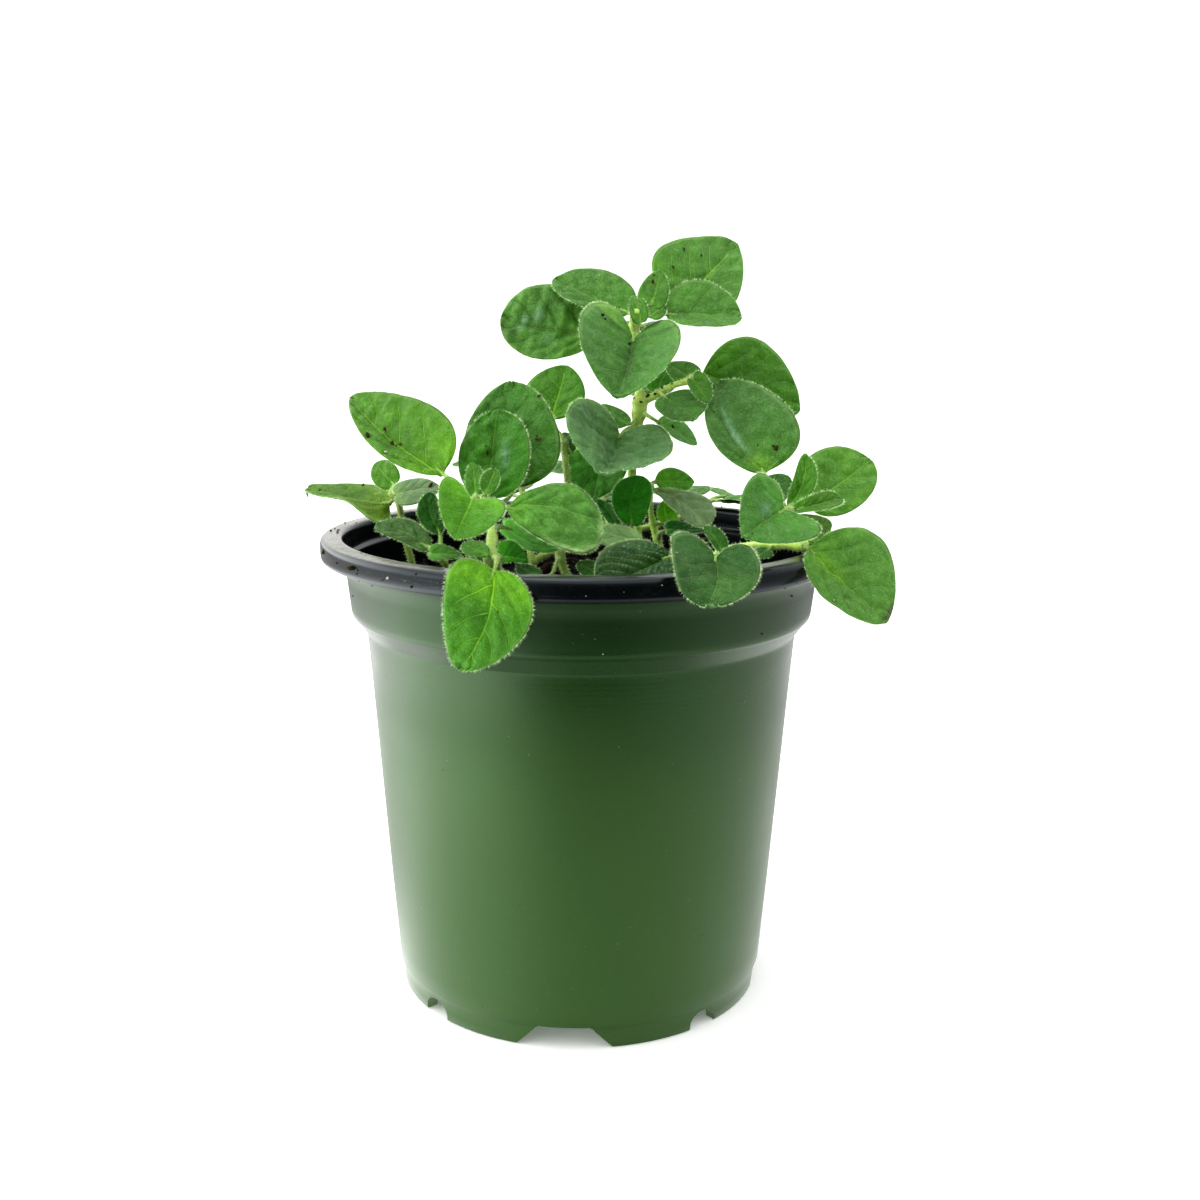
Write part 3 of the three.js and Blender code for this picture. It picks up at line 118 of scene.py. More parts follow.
# Young leaves that are part of their shoot, the same columns.
BUDS = [
    ("top_bud_leaf_1", "stem_main", 14.46, -2, 151.34, 59.7, -60.4, 35.2, 8.4, 3.5, 3, 0.28, 0.19, -0.023, 0.18, 0.077, 0.05, -0.011, (12.32, -1, 150.46), 1.15),
    ("top_bud_leaf_2", "stem_main", 14.06, -4, 148.72, 41.5, -30, 46.3, 5.6, 2, 2, 0.27, 0.06, -0.001, 0.25, 0.068, 0.05, 0, (12.2, -1, 150.12), 1.15),
    ("top_bud_leaf_3", "stem_main", 12.24, -4, 147.64, 123, -58.9, -47.5, 6.4, 1.9, 2.2, 0.07, 0.14, -0.029, 0.21, 0.078, 0.05, 0.019, (12.24, -1, 150.23), 1.15),
    ("main_bud_leaf", "stem_main", 9.95, -3, 125.82, 136.4, -27.9, -40.1, 9.1, 3, 2.2, 0.27, 0, 0.051, 0.27, 0.058, 0.05, -0.038, (12.04, 0.19, 127.65), 1.15),
    ("branch_bud_leaf_1", "stem_main", 23.48, -5.5, 135.59, -52.1, 42.3, 60.2, 6.5, 2.8, 1.7, 0.04, 0.27, 0.004, 0.28, 0.076, 0.05, 0.003, (23.55, 0.15, 135.32), 0.8),
    ("branch_bud_leaf_2", "stem_main", 23.25, 1, 135.49, 143.9, -29.1, -36.4, 7.4, 2.9, 3.7, 0.35, 0.2, -0.013, 0.26, 0.093, 0.05, 0.037, (23.99, 0.23, 135.45), 0.8),
    ("mid_bud_leaf_1", "stem_mid", -2.19, -14, 120.87, 122.9, -44.1, -58.2, 5.5, 2.2, 2, 0.31, 0.1, -0.033, 0.25, 0.091, 0.05, 0.01, (-3.85, -13.52, 122.38), 0.9),
    ("centre_bud_leaf", "stem_centre", 18.24, -10, 106.25, 101.7, -62.9, -2, 4.6, 2, 2.5, 0.4, 0.21, 0.047, 0.2, 0.086, 0.05, -0.01, (15.57, -8, 104.67), 0.8),
    ("right_bud_leaf_1", "stem_right", 27.17, -43.8, 105.16, 160.4, -52.7, -56.7, 5.7, 1.1, 1.9, -0.04, 0.24, -0.051, 0, 0.084, 0.05, 0.035, (26.42, -42, 103.08), 0.9),
    ("right_bud_leaf_2", "stem_right", 40.61, -26, 112.31, 96.4, -58.9, -4.4, 6.5, 3.3, 2.6, -0.33, 0, 0.031, 0.02, 0.097, 0.05, 0.118, (41.57, -25, 110.52), 0.95),
    ("right_bud_leaf_3", "stem_right", 38.07, -27, 102.84, -137.7, 17.3, -22, 3.9, 2, 1.8, 0.2, 0.01, 0.005, 0.29, 0.029, 0.05, -0.065, (39.57, -25.43, 103.37), 0.95),
    ("front_bud_leaf_1", "stem_front", -20.11, -38.7, 114.59, 111.2, -69.9, -30.9, 6.7, 1.9, 2.1, 0.16, 0.04, -0.025, 0.2, 0.074, 0.05, -0.005, (-20.13, -37.08, 113.82), 1),
    ("front_bud_leaf_2", "stem_front", -18.05, -39.4, 115.35, 57.4, -52.8, 37.6, 5.6, 1.9, 1.7, 0.12, 0.02, 0.003, 0.22, 0.076, 0.05, 0.216, (-19.96, -37.15, 113.63), 1),
    ("left_bud_leaf_1", "stem_left", -41.12, -2, 112.38, 148.4, -36.9, -62.2, 7.2, 2.9, 3.2, -0.01, 0.11, 0.009, 0.26, 0.091, 0.05, 0.041, (-41.16, -4, 111.52), 0.9),
    ("front_bud_leaf_4", "stem_front", -29.42, -34, 102.46, 4.6, -0.3, 28.7, 6.3, 2.8, 2.4, 0.49, 0.11, 0, 0.34, 0.098, 0.05, 0.106, (-28.12, -28, 100.98), 0.8),
    ("front_bud_leaf_3", "stem_front", -17.02, -46.3, 104.37, 150.6, -18, -35.7, 6.4, 2, 2.1, 0.06, 0, 0.018, 0.14, 0.075, 0.05, 0.041, (-16.62, -43.62, 103.49), 1),
    ("mid_bud_leaf_2", "stem_mid", -7.75, -40, 99.41, 151.2, -21.5, -35.6, 5.5, 2.1, 1.6, 0.26, 0.03, 0.053, 0.19, 0.058, 0.05, -0.069, (-3.92, -28.1, 100.89), 0.9),
    ("mid_bud_leaf_3", "stem_mid", 3.6, -38, 99.61, 159.2, -23.5, -46.2, 4.8, 2, 1.9, 0.22, 0.09, 0.003, 0.24, 0.079, 0.05, -0.004, (-1.76, -29.5, 96.29), 0.9),
]

# ------------------------------------------------------------------ camera
camera_data = bpy.data.cameras.new("camera")
camera_data.lens = 42.0
camera_data.sensor_width = 36.0
camera_data.sensor_fit = "HORIZONTAL"
camera_data.clip_start = 0.01
camera_data.clip_end = 30.0
camera = bpy.data.objects.new("camera", camera_data)
bpy.context.scene.collection.objects.link(camera)
camera.matrix_world = (
    Matrix.Translation((4.06 * MM, -306.48 * MM, 148.77 * MM))
    @ Matrix.Rotation(math.pi / 2 - 0.2003, 4, "X")
    @ Matrix.Rotation(0.0079, 4, "Z")
)
bpy.context.scene.camera = camera


# ------------------------------------------------------------------ small helpers
def smooth(x, lo, hi):
    t = np.clip((np.asarray(x, float) - lo) / (hi - lo), 0.0, 1.0)
    return t * t * (3 - 2 * t)


def gauss(x, w):
    return np.exp(-((np.asarray(x, float) / w) ** 2))


def mix(a, b, f):
    return np.asarray(a, float) * (1 - f) + np.asarray(b, float) * f


def seed_of(name):
    return sum((i + 1) * ord(c) for i, c in enumerate(name)) % 100003


def wobble(rng, count=5, low=1.0, high=3.0):
    """A smooth random function of a 0..1 number, about -1..1."""
    f = rng.uniform(low, high, count)
    p = rng.uniform(0, 2 * math.pi, count)
    a = rng.uniform(0.3, 1.0, count)
    a /= a.sum()
    return lambda x: sum(a[i] * np.sin(2 * math.pi * f[i] * x + p[i]) for i in range(count))


class Build:
    """Collects closed meshes with per-point values, in millimetres, and makes one object of them."""

    def __init__(self):
        self.verts, self.faces, self.mats = [], [], []
        self.values = {}
        self.count = 0

    def add(self, verts, faces, mat=0, **values):
        verts = np.asarray(verts, float).reshape(-1, 3)
        n = len(verts)
        for key in set(self.values) | set(values):
            v = values.get(key)
            width = 3 if key == "tint" else 1
            if v is None:
                v = np.zeros((n, width))
            v = np.asarray(v, float)
            if v.ndim == 1 and width == 3 and v.size == 3:
                v = np.tile(v, (n, 1))
            elif v.ndim == 0:
                v = np.full((n, width), float(v))
            v = v.reshape(n, width)
            if key not in self.values:
                self.values[key] = [np.zeros((self.count, width))] if self.count else []
            self.values[key].append(v)
        for f in faces:
            self.faces.append([i + self.count for i in f])
            self.mats.append(mat)
        self.verts.append(verts)
        self.count += n

    def make(self, name, materials, smooth_shade=True):
        me = bpy.data.meshes.new(name)
        co = np.vstack(self.verts) * MM
        me.from_pydata(co.tolist(), [], self.faces)
        for m in materials:
            me.materials.append(m)
        me.polygons.foreach_set("material_index", self.mats)
        me.polygons.foreach_set("use_smooth", [smooth_shade] * len(me.polygons))
        for key, parts in self.values.items():
            v = np.vstack(parts)
            if key == "tint":
                a = me.color_attributes.new("tint", "FLOAT_COLOR", "POINT")
                rgba = np.ones((len(v), 4))
                rgba[:, :3] = np.clip(v, 0, 1)
                a.data.foreach_set("color", rgba.ravel())
            else:
                a = me.attributes.new(key, "FLOAT", "POINT")
                a.data.foreach_set("value", v.ravel())
        me.validate()
        me.update()
        ob = bpy.data.objects.new(name, me)
        bpy.context.scene.collection.objects.link(ob)
        return ob


# ------------------------------------------------------------------ node materials
class Nodes:
    def __init__(self, name):
        self.mat = bpy.data.materials.new(name)
        self.mat.use_nodes = True
        self.nt = self.mat.node_tree
        self.nt.nodes.clear()
        self.out = self.nt.nodes.new("ShaderNodeOutputMaterial")
        self.bsdf = self.nt.nodes.new("ShaderNodeBsdfPrincipled")
        self.nt.links.new(self.bsdf.outputs[0], self.out.inputs["Surface"])

    def node(self, kind, **props):
        n = self.nt.nodes.new(kind)
        for k, v in props.items():
            setattr(n, k, v)
        return n

    def plug(self, socket, value):
        if isinstance(value, bpy.types.NodeSocket):
            self.nt.links.new(value, socket)
        elif isinstance(value, (tuple, list)) and len(value) == 3 and socket.type == "RGBA":
            socket.default_value = (*value, 1.0)
        else:
            socket.default_value = value

    def math(self, op, a, b=0.0, c=0.0, clamp=False):
        n = self.node("ShaderNodeMath", operation=op, use_clamp=clamp)
        self.plug(n.inputs[0], a)
        self.plug(n.inputs[1], b)
        if len(n.inputs) > 2:
            self.plug(n.inputs[2], c)
        return n.outputs[0]

    def mix(self, f, a, b, blend="MIX"):
        n = self.node("ShaderNodeMix", data_type="RGBA", blend_type=blend)
        self.plug(n.inputs[0], f)
        self.plug(n.inputs[6], a)
        self.plug(n.inputs[7], b)
        return n.outputs[2]

    def ramp(self, x, lo, hi, a=0.0, b=1.0, kind="SMOOTHSTEP"):
        n = self.node("ShaderNodeMapRange", interpolation_type=kind)
        self.plug(n.inputs[0], x)
        for i, v in enumerate((lo, hi, a, b)):
            self.plug(n.inputs[1 + i], v)
        return n.outputs[0]

    def noise(self, vector, scale, detail=3.0, rough=0.55, out=0, distortion=0.0):
        n = self.node("ShaderNodeTexNoise")
        self.plug(n.inputs["Vector"], vector)
        n.inputs["Scale"].default_value = scale
        n.inputs["Detail"].default_value = detail
        n.inputs["Roughness"].default_value = rough
        n.inputs["Distortion"].default_value = distortion
        return n.outputs[out]

    def voronoi(self, vector, scale, feature="F1", random=1.0):
        n = self.node("ShaderNodeTexVoronoi", feature=feature)
        self.plug(n.inputs["Vector"], vector)
        n.inputs["Scale"].default_value = scale
        n.inputs["Randomness"].default_value = random
        return n.outputs["Distance"]

    def value(self, name):
        return self.node("ShaderNodeAttribute", attribute_name=name).outputs["Fac"]

    def colour(self, name):
        return self.node("ShaderNodeAttribute", attribute_name=name).outputs["Color"]

    def object(self):
        return self.node("ShaderNodeTexCoord").outputs["Object"]

    def bump(self, height, distance, strength=1.0):
        n = self.node("ShaderNodeBump")
        n.inputs["Strength"].default_value = strength
        n.inputs["Distance"].default_value = distance
        self.plug(n.inputs["Height"], height)
        self.nt.links.new(n.outputs[0], self.bsdf.inputs["Normal"])

    def set(self, **values):
        for k, v in values.items():
            self.plug(self.bsdf.inputs[k.replace("_", " ")], v)
        return self.mat


def leaf_material():
    """Soft felted leaf: fine veins, a net of small veins, pale hairs over the green and a duller underside, with
    painted shade in the hollows of the quilting, along the net and beside the side veins.
    """
    n = Nodes("leaf_blade")
    pos = n.object()
    base = n.colour("tint")
    under = n.value("under")
    phase, gap, lateral, across, along = (n.value(k) for k in ("phase", "gap", "lateral", "across", "along"))
    pale = n.value("pale")
    # side veins: a line wherever the phase is a whole number
    frac = n.math("ABSOLUTE", n.math("SUBTRACT", n.math("FRACT", n.math("ADD", phase, 0.5)), 0.5))
    dist = n.math("MULTIPLY", frac, gap)
    side = n.ramp(dist, 0.05, 0.17, 1.0, 0.0)
    side = n.math("MULTIPLY", side, n.ramp(across, 0.55, 0.93, 1.0, 0.0))
    side = n.math("MULTIPLY", side, n.ramp(phase, -0.4, -0.2))
    mid = n.ramp(n.math("ABSOLUTE", lateral), 0.10, n.math("SUBTRACT", 0.46, n.math("MULTIPLY", along, 0.28)), 1.0, 0.0)
    mid = n.math("MULTIPLY", mid, n.ramp(along, 0.97, 0.75))
    veins = n.math("MAXIMUM", side, mid)
    quilt = n.node("ShaderNodeTexVoronoi", feature="SMOOTH_F1")
    n.plug(quilt.inputs["Vector"], pos)
    quilt.inputs["Scale"].default_value = 560.0
    quilt.inputs["Smoothness"].default_value = 0.7
    cell = quilt.outputs["Distance"]
    net = n.ramp(n.voronoi(pos, 900.0, "DISTANCE_TO_EDGE"), 0.0, 0.13, 1.0, 0.0)
    broad = n.noise(pos, 150.0, 4.0, 0.6)
    patch = n.noise(pos, 620.0, 3.0, 0.6)
    fuzz = n.noise(pos, 3300.0, 2.0, 0.75)
    felt = n.noise(pos, 1500.0, 3.0, 0.7)
    dots = n.ramp(n.voronoi(pos, 1150.0, "F1"), 0.05, 0.16, 1.0, 0.0)
    deep = n.mix(1.0, base, (0.52, 0.64, 0.55), "MULTIPLY")
    own = n.mix(1.0, n.mix(1.0, base, (1.75, 1.65, 1.6), "MULTIPLY"), (0.012, 0.02, 0.003), "ADD")
    haze = n.mix(n.value("bloom"), own, (0.25, 0.37, 0.22))
    bloom = n.mix(0.5, base, haze)
    col = n.mix(n.ramp(broad, 0.36, 0.66, 0.0, 0.55), base, deep)
    # painted shade in the hollows between the puffs of the quilting
    col = n.mix(n.ramp(cell, 0.25, 0.75, 0.0, 0.42), col, n.mix(1.0, col, (0.58, 0.68, 0.50), "MULTIPLY"))
    col = n.mix(n.ramp(patch, 0.48, 0.72, 0.0, 0.45), col, bloom)
    # painted shade along the sunken net of small veins
    col = n.mix(n.math("MULTIPLY", net, 0.16), col, n.mix(1.0, col, (0.5, 0.58, 0.45), "MULTIPLY"))
    # painted shade: the sunken groove beside a side vein is darker, and the vein's own line is paler on bright leaves
    trough_shade = n.math("MULTIPLY", n.ramp(dist, 0.0, 0.75, 1.0, 0.0), n.ramp(across, 0.45, 0.95, 1.0, 0.0))
    trough_shade = n.math("MULTIPLY", trough_shade, n.ramp(phase, -0.4, -0.2))
    trough_shade = n.math("MULTIPLY", trough_shade, n.ramp(patch, 0.35, 0.6))
    col = n.mix(n.math("MULTIPLY", trough_shade, 0.20), col, n.mix(1.0, col, (0.45, 0.55, 0.42), "MULTIPLY"))
    veincol = n.mix(1.0, n.mix(1.0, base, (1.7, 1.4, 1.4), "MULTIPLY"), (0.055, 0.075, 0.012), "ADD")
    col = n.mix(n.math("MULTIPLY", side, pale), col, veincol)
    col = n.mix(n.math("MULTIPLY", mid, n.math("ADD", n.math("MULTIPLY", pale, 0.9), 0.12)), col, veincol)
    col = n.mix(n.ramp(felt, 0.5, 0.75, 0.0, 0.34), col, haze)
    col = n.mix(n.ramp(felt, 0.47, 0.28, 0.0, 0.30), col, deep)
    col = n.mix(n.ramp(fuzz, 0.5, 0.72, 0.0, 0.34), col, n.mix(1.0, haze, (0.06, 0.08, 0.04), "ADD"))
    col = n.mix(n.math("MULTIPLY", dots, 0.14), col, (0.40, 0.50, 0.33))
    edge = n.math("ADD", n.ramp(across, 0.90, 0.97, 0.0, 0.25), n.ramp(across, 0.965, 1.0, 0.0, 0.40))
    col = n.mix(edge, col, n.mix(0.55, own, (0.36, 0.52, 0.22)))
    grey = n.mix(0.5, col, n.mix(0.5, own, (0.19, 0.30, 0.12)))
    col = n.mix(under, col, grey)
    h = n.math("MULTIPLY", n.math("MULTIPLY", veins, n.ramp(under, 0.4, 0.6, -1.0, 1.0)), 0.6)
    h = n.math("ADD", h, n.math("MULTIPLY", cell, -1.5))
    h = n.math("ADD", h, n.math("MULTIPLY", net, -0.2))
    h = n.math("ADD", h, n.math("MULTIPLY", felt, 0.7))
    h = n.math("ADD", h, n.math("MULTIPLY", fuzz, 0.35))
    n.bump(h, 0.00026, 0.9)
    rough = n.ramp(n.noise(pos, 420.0, 2.0), 0.3, 0.7, 0.46, 0.62)
    return n.set(Base_Color=col, Roughness=rough, Specular_IOR_Level=0.24, Sheen_Weight=0.06, Sheen_Roughness=0.45,
                 Sheen_Tint=(0.86, 0.95, 0.8, 1.0))


def stem_material():
    """Pale square stem with a fine grain along it and darker mottling."""
    n = Nodes("stem_skin")
    pos = n.object()
    base = n.colour("tint")
    grain = n.noise(pos, 900.0, 3.0, 0.6)
    spots = n.ramp(n.noise(pos, 260.0, 2.0), 0.52, 0.75)
    col = n.mix(n.ramp(grain, 0.35, 0.7, 0.0, 0.5), base, n.mix(1.0, base, (0.66, 0.7, 0.55), "MULTIPLY"))
    col = n.mix(n.math("MULTIPLY", spots, 0.35), col, n.mix(1.0, base, (0.5, 0.42, 0.35), "MULTIPLY"))
    n.bump(n.math("ADD", grain, n.noise(pos, 3200.0, 2.0)), 0.00012, 0.7)
    return n.set(Base_Color=col, Roughness=n.ramp(grain, 0.3, 0.7, 0.5, 0.7), Specular_IOR_Level=0.35,
                 Sheen_Weight=0.2, Sheen_Roughness=0.4)


def hair_material(name, colour, glow):
    """Fine pale hairs; the light that comes through them is a faint glow of their own."""
    n = Nodes(name)
    return n.set(Base_Color=(*colour, 1.0), Roughness=0.5, Specular_IOR_Level=0.3, Emission_Color=(*colour, 1.0), Emission_Strength=glow)


def pot_green_material(name, gloss):
    """Injection-moulded green plastic: soft gloss, faint mould flow, dust and rubbed specks, and painted shade that
    darkens the colour towards the top, under the shoulder and rim.
    """
    n = Nodes(name)
    pos = n.object()
    flow = n.noise(pos, 26.0, 3.0, 0.55, distortion=0.6)
    fine = n.noise(pos, 1900.0, 2.0, 0.6)
    dust = n.ramp(n.noise(pos, 520.0, 4.0, 0.75), 0.62, 0.78)
    rings = n.node("ShaderNodeTexWave", wave_type="BANDS", bands_direction="Z")
    n.plug(rings.inputs["Vector"], pos)
    rings.inputs["Scale"].default_value = 300.0
    rings.inputs["Distortion"].default_value = 0.8
    z = n.node("ShaderNodeSeparateXYZ")
    n.plug(z.inputs[0], pos)
    # painted shade: the base colour is darkest on the band under the rim and lightens down the body to the foot
    up = n.math("ADD", n.ramp(z.outputs[2], 0.088, 0.055, 0.0, 0.66, "LINEAR"), n.ramp(z.outputs[2], 0.055, 0.008, 0.0, 0.25, "LINEAR"))
    a, b = (n.mix(up, tuple(v * 0.34 * m for v, m in zip(c, (0.35, 1.0, 0.3))), c) for c in ((0.0235, 0.066, 0.0085), (0.027, 0.073, 0.010)))
    col = n.mix(n.ramp(flow, 0.3, 0.7), a, b)
    col = n.mix(n.math("MULTIPLY", n.ramp(fine, 0.45, 0.75), 0.16), col, n.mix(1.0, col, (1.6, 1.5, 1.5), "MULTIPLY"))
    low = n.ramp(z.outputs[2], 0.0, 0.05, 0.35, 0.06)
    col = n.mix(n.math("MULTIPLY", dust, low), col, (0.13, 0.17, 0.09))
    scuff = n.ramp(n.voronoi(pos, 210.0, "F1"), 0.03, 0.05, 1.0, 0.0)
    col = n.mix(n.math("MULTIPLY", scuff, 0.45), col, (0.012, 0.012, 0.008))
    speck = n.ramp(n.voronoi(pos, 330.0, "F1"), 0.02, 0.045, 1.0, 0.0)
    speck = n.math("MULTIPLY", speck, n.ramp(n.noise(pos, 60.0, 1.0), 0.52, 0.6))
    col = n.mix(n.math("MULTIPLY", speck, 0.5), col, (0.30, 0.34, 0.27))
    h = n.math("ADD", n.math("MULTIPLY", fine, 0.5), n.math("MULTIPLY", rings.outputs["Fac"], 0.06))
    n.bump(h, 0.00006, 0.6)
    rough = n.math("ADD", n.ramp(flow, 0.3, 0.7, 0.33, 0.40), n.math("MULTIPLY", dust, 0.18))
    crisp = n.math("MULTIPLY", n.ramp(z.outputs[2], 0.066, 0.0795), n.ramp(z.outputs[2], 0.0872, 0.0860))
    rough = n.math("MULTIPLY", rough, n.math("SUBTRACT", 1.0, n.math("MULTIPLY", crisp, 0.32)))
    return n.set(Base_Color=col, Roughness=rough, Specular_IOR_Level=gloss, IOR=1.5, Specular_Tint=(0.72, 1.0, 0.66, 1.0))


def pot_black_material(name, gloss, wear_and_reflection):
    """The dark inner layer of the pot, which also forms the rolled rim: rubbed, dusty and finely scratched, with a
    painted reflection as a pale patch on the rim's flat top on the left side.
    """
    n = Nodes(name)
    pos = n.object()
    fine = n.noise(pos, 1600.0, 3.0, 0.6)
    dust = n.ramp(n.noise(pos, 330.0, 5.0, 0.75), 0.52, 0.74)
    scratch = n.node("ShaderNodeTexNoise")
    stretch = n.node("ShaderNodeMapping")
    n.plug(stretch.inputs["Vector"], pos)
    stretch.inputs["Scale"].default_value = (60.0, 420.0, 2600.0)
    stretch.inputs["Rotation"].default_value = (0.3, 0.15, 0.7)
    n.plug(scratch.inputs["Vector"], stretch.outputs[0])
    scratch.inputs["Scale"].default_value = 1.0
    scratch.inputs["Detail"].default_value = 2.0
    line = n.ramp(scratch.outputs[0], 0.66, 0.74)
    col = n.mix(n.ramp(fine, 0.4, 0.7, 0.0, 0.6), (0.0015, 0.0028, 0.0032), (0.003, 0.0048, 0.0056))
    col = n.mix(n.math("MULTIPLY", dust, 0.05 * wear_and_reflection), col, (0.07, 0.067, 0.06))
    col = n.mix(n.math("MULTIPLY", line, 0.10 * wear_and_reflection), col, (0.10, 0.10, 0.10))
    z = n.node("ShaderNodeSeparateXYZ")
    n.plug(z.inputs[0], pos)
    # painted reflection: the flat top of the rim turns pale on the left side, towards the window light; the same
    # strength also scales the dust and scratches
    flat = n.math("MULTIPLY", n.ramp(z.outputs[2], 0.1016, 0.1019), n.ramp(z.outputs[0], -0.018, -0.045, 0.06, 1.0))
    flat = n.math("MULTIPLY", flat, n.ramp(n.noise(pos, 700.0, 4.0, 0.7), 0.3, 0.6, 0.5, 1.0))
    col = n.mix(n.math("MULTIPLY", flat, 0.62 * wear_and_reflection), col, (0.34, 0.325, 0.285))
    n.bump(n.math("SUBTRACT", fine, line), 0.000012, 0.5)
    rough = n.math("ADD", n.ramp(fine, 0.3, 0.7, 0.20, 0.24), n.math("MULTIPLY", dust, 0.08))
    return n.set(Base_Color=col, Roughness=rough, Specular_IOR_Level=gloss, IOR=1.5, Specular_Tint=(0.84, 0.94, 1.0, 1.0))


def soil_material():
    """Moist peat and bark: colour by bit, with coarse and fine grain."""
    n = Nodes("mix_crumb")
    pos = n.object()
    base = n.colour("tint")
    coarse = n.noise(pos, 480.0, 4.0, 0.7)
    fine = n.noise(pos, 2600.0, 3.0, 0.7)
    col = n.mix(n.ramp(coarse, 0.35, 0.65, 0.0, 0.8), base, n.mix(1.0, base, (0.4, 0.36, 0.34), "MULTIPLY"))
    col = n.mix(n.math("MULTIPLY", n.ramp(fine, 0.55, 0.75), 0.25), col, n.mix(1.0, base, (2.4, 2.1, 1.9), "MULTIPLY"))
    n.bump(n.math("ADD", coarse, n.math("MULTIPLY", fine, 0.5)), 0.0004, 0.9)
    return n.set(Base_Color=col, Roughness=n.ramp(coarse, 0.3, 0.7, 0.62, 0.92), Specular_IOR_Level=0.12)


LEAF = leaf_material()
STEM = stem_material()
HAIR = hair_material("leaf_hair", (0.66, 0.90, 0.46), 0.22)
STEM_HAIR = hair_material("stem_hair", (0.72, 0.86, 0.46), 0.16)
POT_GREEN = pot_green_material("pot_green", 0.45)
POT_BLACK = pot_black_material("pot_black", 0.42, 1.0)
POT_INSIDE = pot_black_material("pot_inside", 0.10, 0.3)
SOIL = soil_material()

# ------------------------------------------------------------------ leaf tones, linear colour
TONES = {
    "young": dict(body=(0.070, 0.225, 0.006), base=(0.125, 0.34, 0.003), pale=0.7, bloom=0.06),
    "mid": dict(body=(0.054, 0.185, 0.014), base=(0.066, 0.235, 0.010), pale=0.35, bloom=0.22),
    "dark": dict(body=(0.036, 0.135, 0.012), base=(0.048, 0.165, 0.008), pale=0.22, bloom=0.20),
    "grey": dict(body=(0.056, 0.145, 0.034), base=(0.058, 0.16, 0.026), pale=0.22, bloom=0.65),
}
STALK = (0.30, 0.48, 0.09)


# ------------------------------------------------------------------ blade shape
def edge_shape(s, length, width, f):
    th = np.pi * s
    x = length * (0.5 - 0.5 * np.cos(th)) - f["lobe"] * length * 9.48 * s * (1 - s) ** 3

    def w(u):
        return np.maximum(0.0, np.sin(np.pi * u)) ** (1 + f["point"] * u * u) * (1 + f["egg"] * np.cos(np.pi * u))

    widest = w(np.linspace(0, 1, 101)).max()
    return x, width * w(s) / widest


def blade_points(s, r, f):
    """Middle surface in the leaf's own frame: s along the edge, r across from -1 (right) to 1 (left)."""
    L = f["length"]
    a = np.abs(r)
    xl, yl = edge_shape(s, L, f["left"], f)
    xr, yr = edge_shape(s, L, f["right"], f)
    xe, ye = np.where(r >= 0, xl, xr), np.where(r >= 0, yl, yr)
    xm = L * (0.5 - 0.5 * np.cos(np.pi * s))
    x = xm + (xe - xm) * a * a
    y = r * ye
    t = x / L
    W = (f["left"] + f["right"]) / 2
    z = -f["droop"] * L * t * np.abs(t) + f["cup"] * y * y / W + f["fold"] * (np.sqrt(y * y + 0.36) - 0.6)
    tc = np.clip(t, 0, 1)
    return x, y, z, y + 4 * f["arch"] * L * tc * (1 - tc), ye


def rotation(yaw, pitch, roll):
    y, p, r = (math.radians(v) for v in (yaw, pitch, roll))
    rz = np.array([[math.cos(y), -math.sin(y), 0], [math.sin(y), math.cos(y), 0], [0, 0, 1]])
    ry = np.array([[math.cos(p), 0, math.sin(p)], [0, 1, 0], [-math.sin(p), 0, math.cos(p)]])
    rx = np.array([[1, 0, 0], [0, math.cos(r), -math.sin(r)], [0, math.sin(r), math.cos(r)]])
    return rz @ ry @ rx


def tube(path, radii, sides, square=0.0, turn=0.0):
    """A closed tube along a path of points, with its rings' normals and the place along it."""
    path = np.asarray(path, float)
    n = len(path)
    tan = np.gradient(path, axis=0)
    tan /= np.linalg.norm(tan, axis=1)[:, None]
    up = np.array([0.0, 1.0, 0.0]) if abs(tan[0][1]) < 0.9 else np.array([1.0, 0.0, 0.0])
    rings, normals = [], []
    u = np.cross(tan[0], up)
    u /= np.linalg.norm(u)
    for i in range(n):
        u = u - tan[i] * (u @ tan[i])
        u /= np.linalg.norm(u)
        v = np.cross(tan[i], u)
        th = 2 * np.pi * np.arange(sides) / sides + turn
        k = 1 + square * np.cos(4 * th)
        d = np.outer(np.cos(th), u) + np.outer(np.sin(th), v)
        rings.append(path[i] + d * (radii[i] * k)[:, None])
        normals.append(d)
    verts = np.vstack(rings + [path[:1], path[-1:]])
    faces = []
    for i in range(n - 1):
        for j in range(sides):
            a, b = i * sides + j, i * sides + (j + 1) % sides
            faces.append((a, b, b + sides, a + sides))
    lo, hi, last = n * sides, n * sides + 1, (n - 1) * sides
    for j in range(sides):
        faces.append((lo, (j + 1) % sides, j))
        faces.append((hi, last + j, last + (j + 1) % sides))
    place = np.concatenate([np.repeat(np.linspace(0, 1, n), sides), [0, 1]])
    return verts, faces, place, np.vstack(normals), np.vstack(rings)


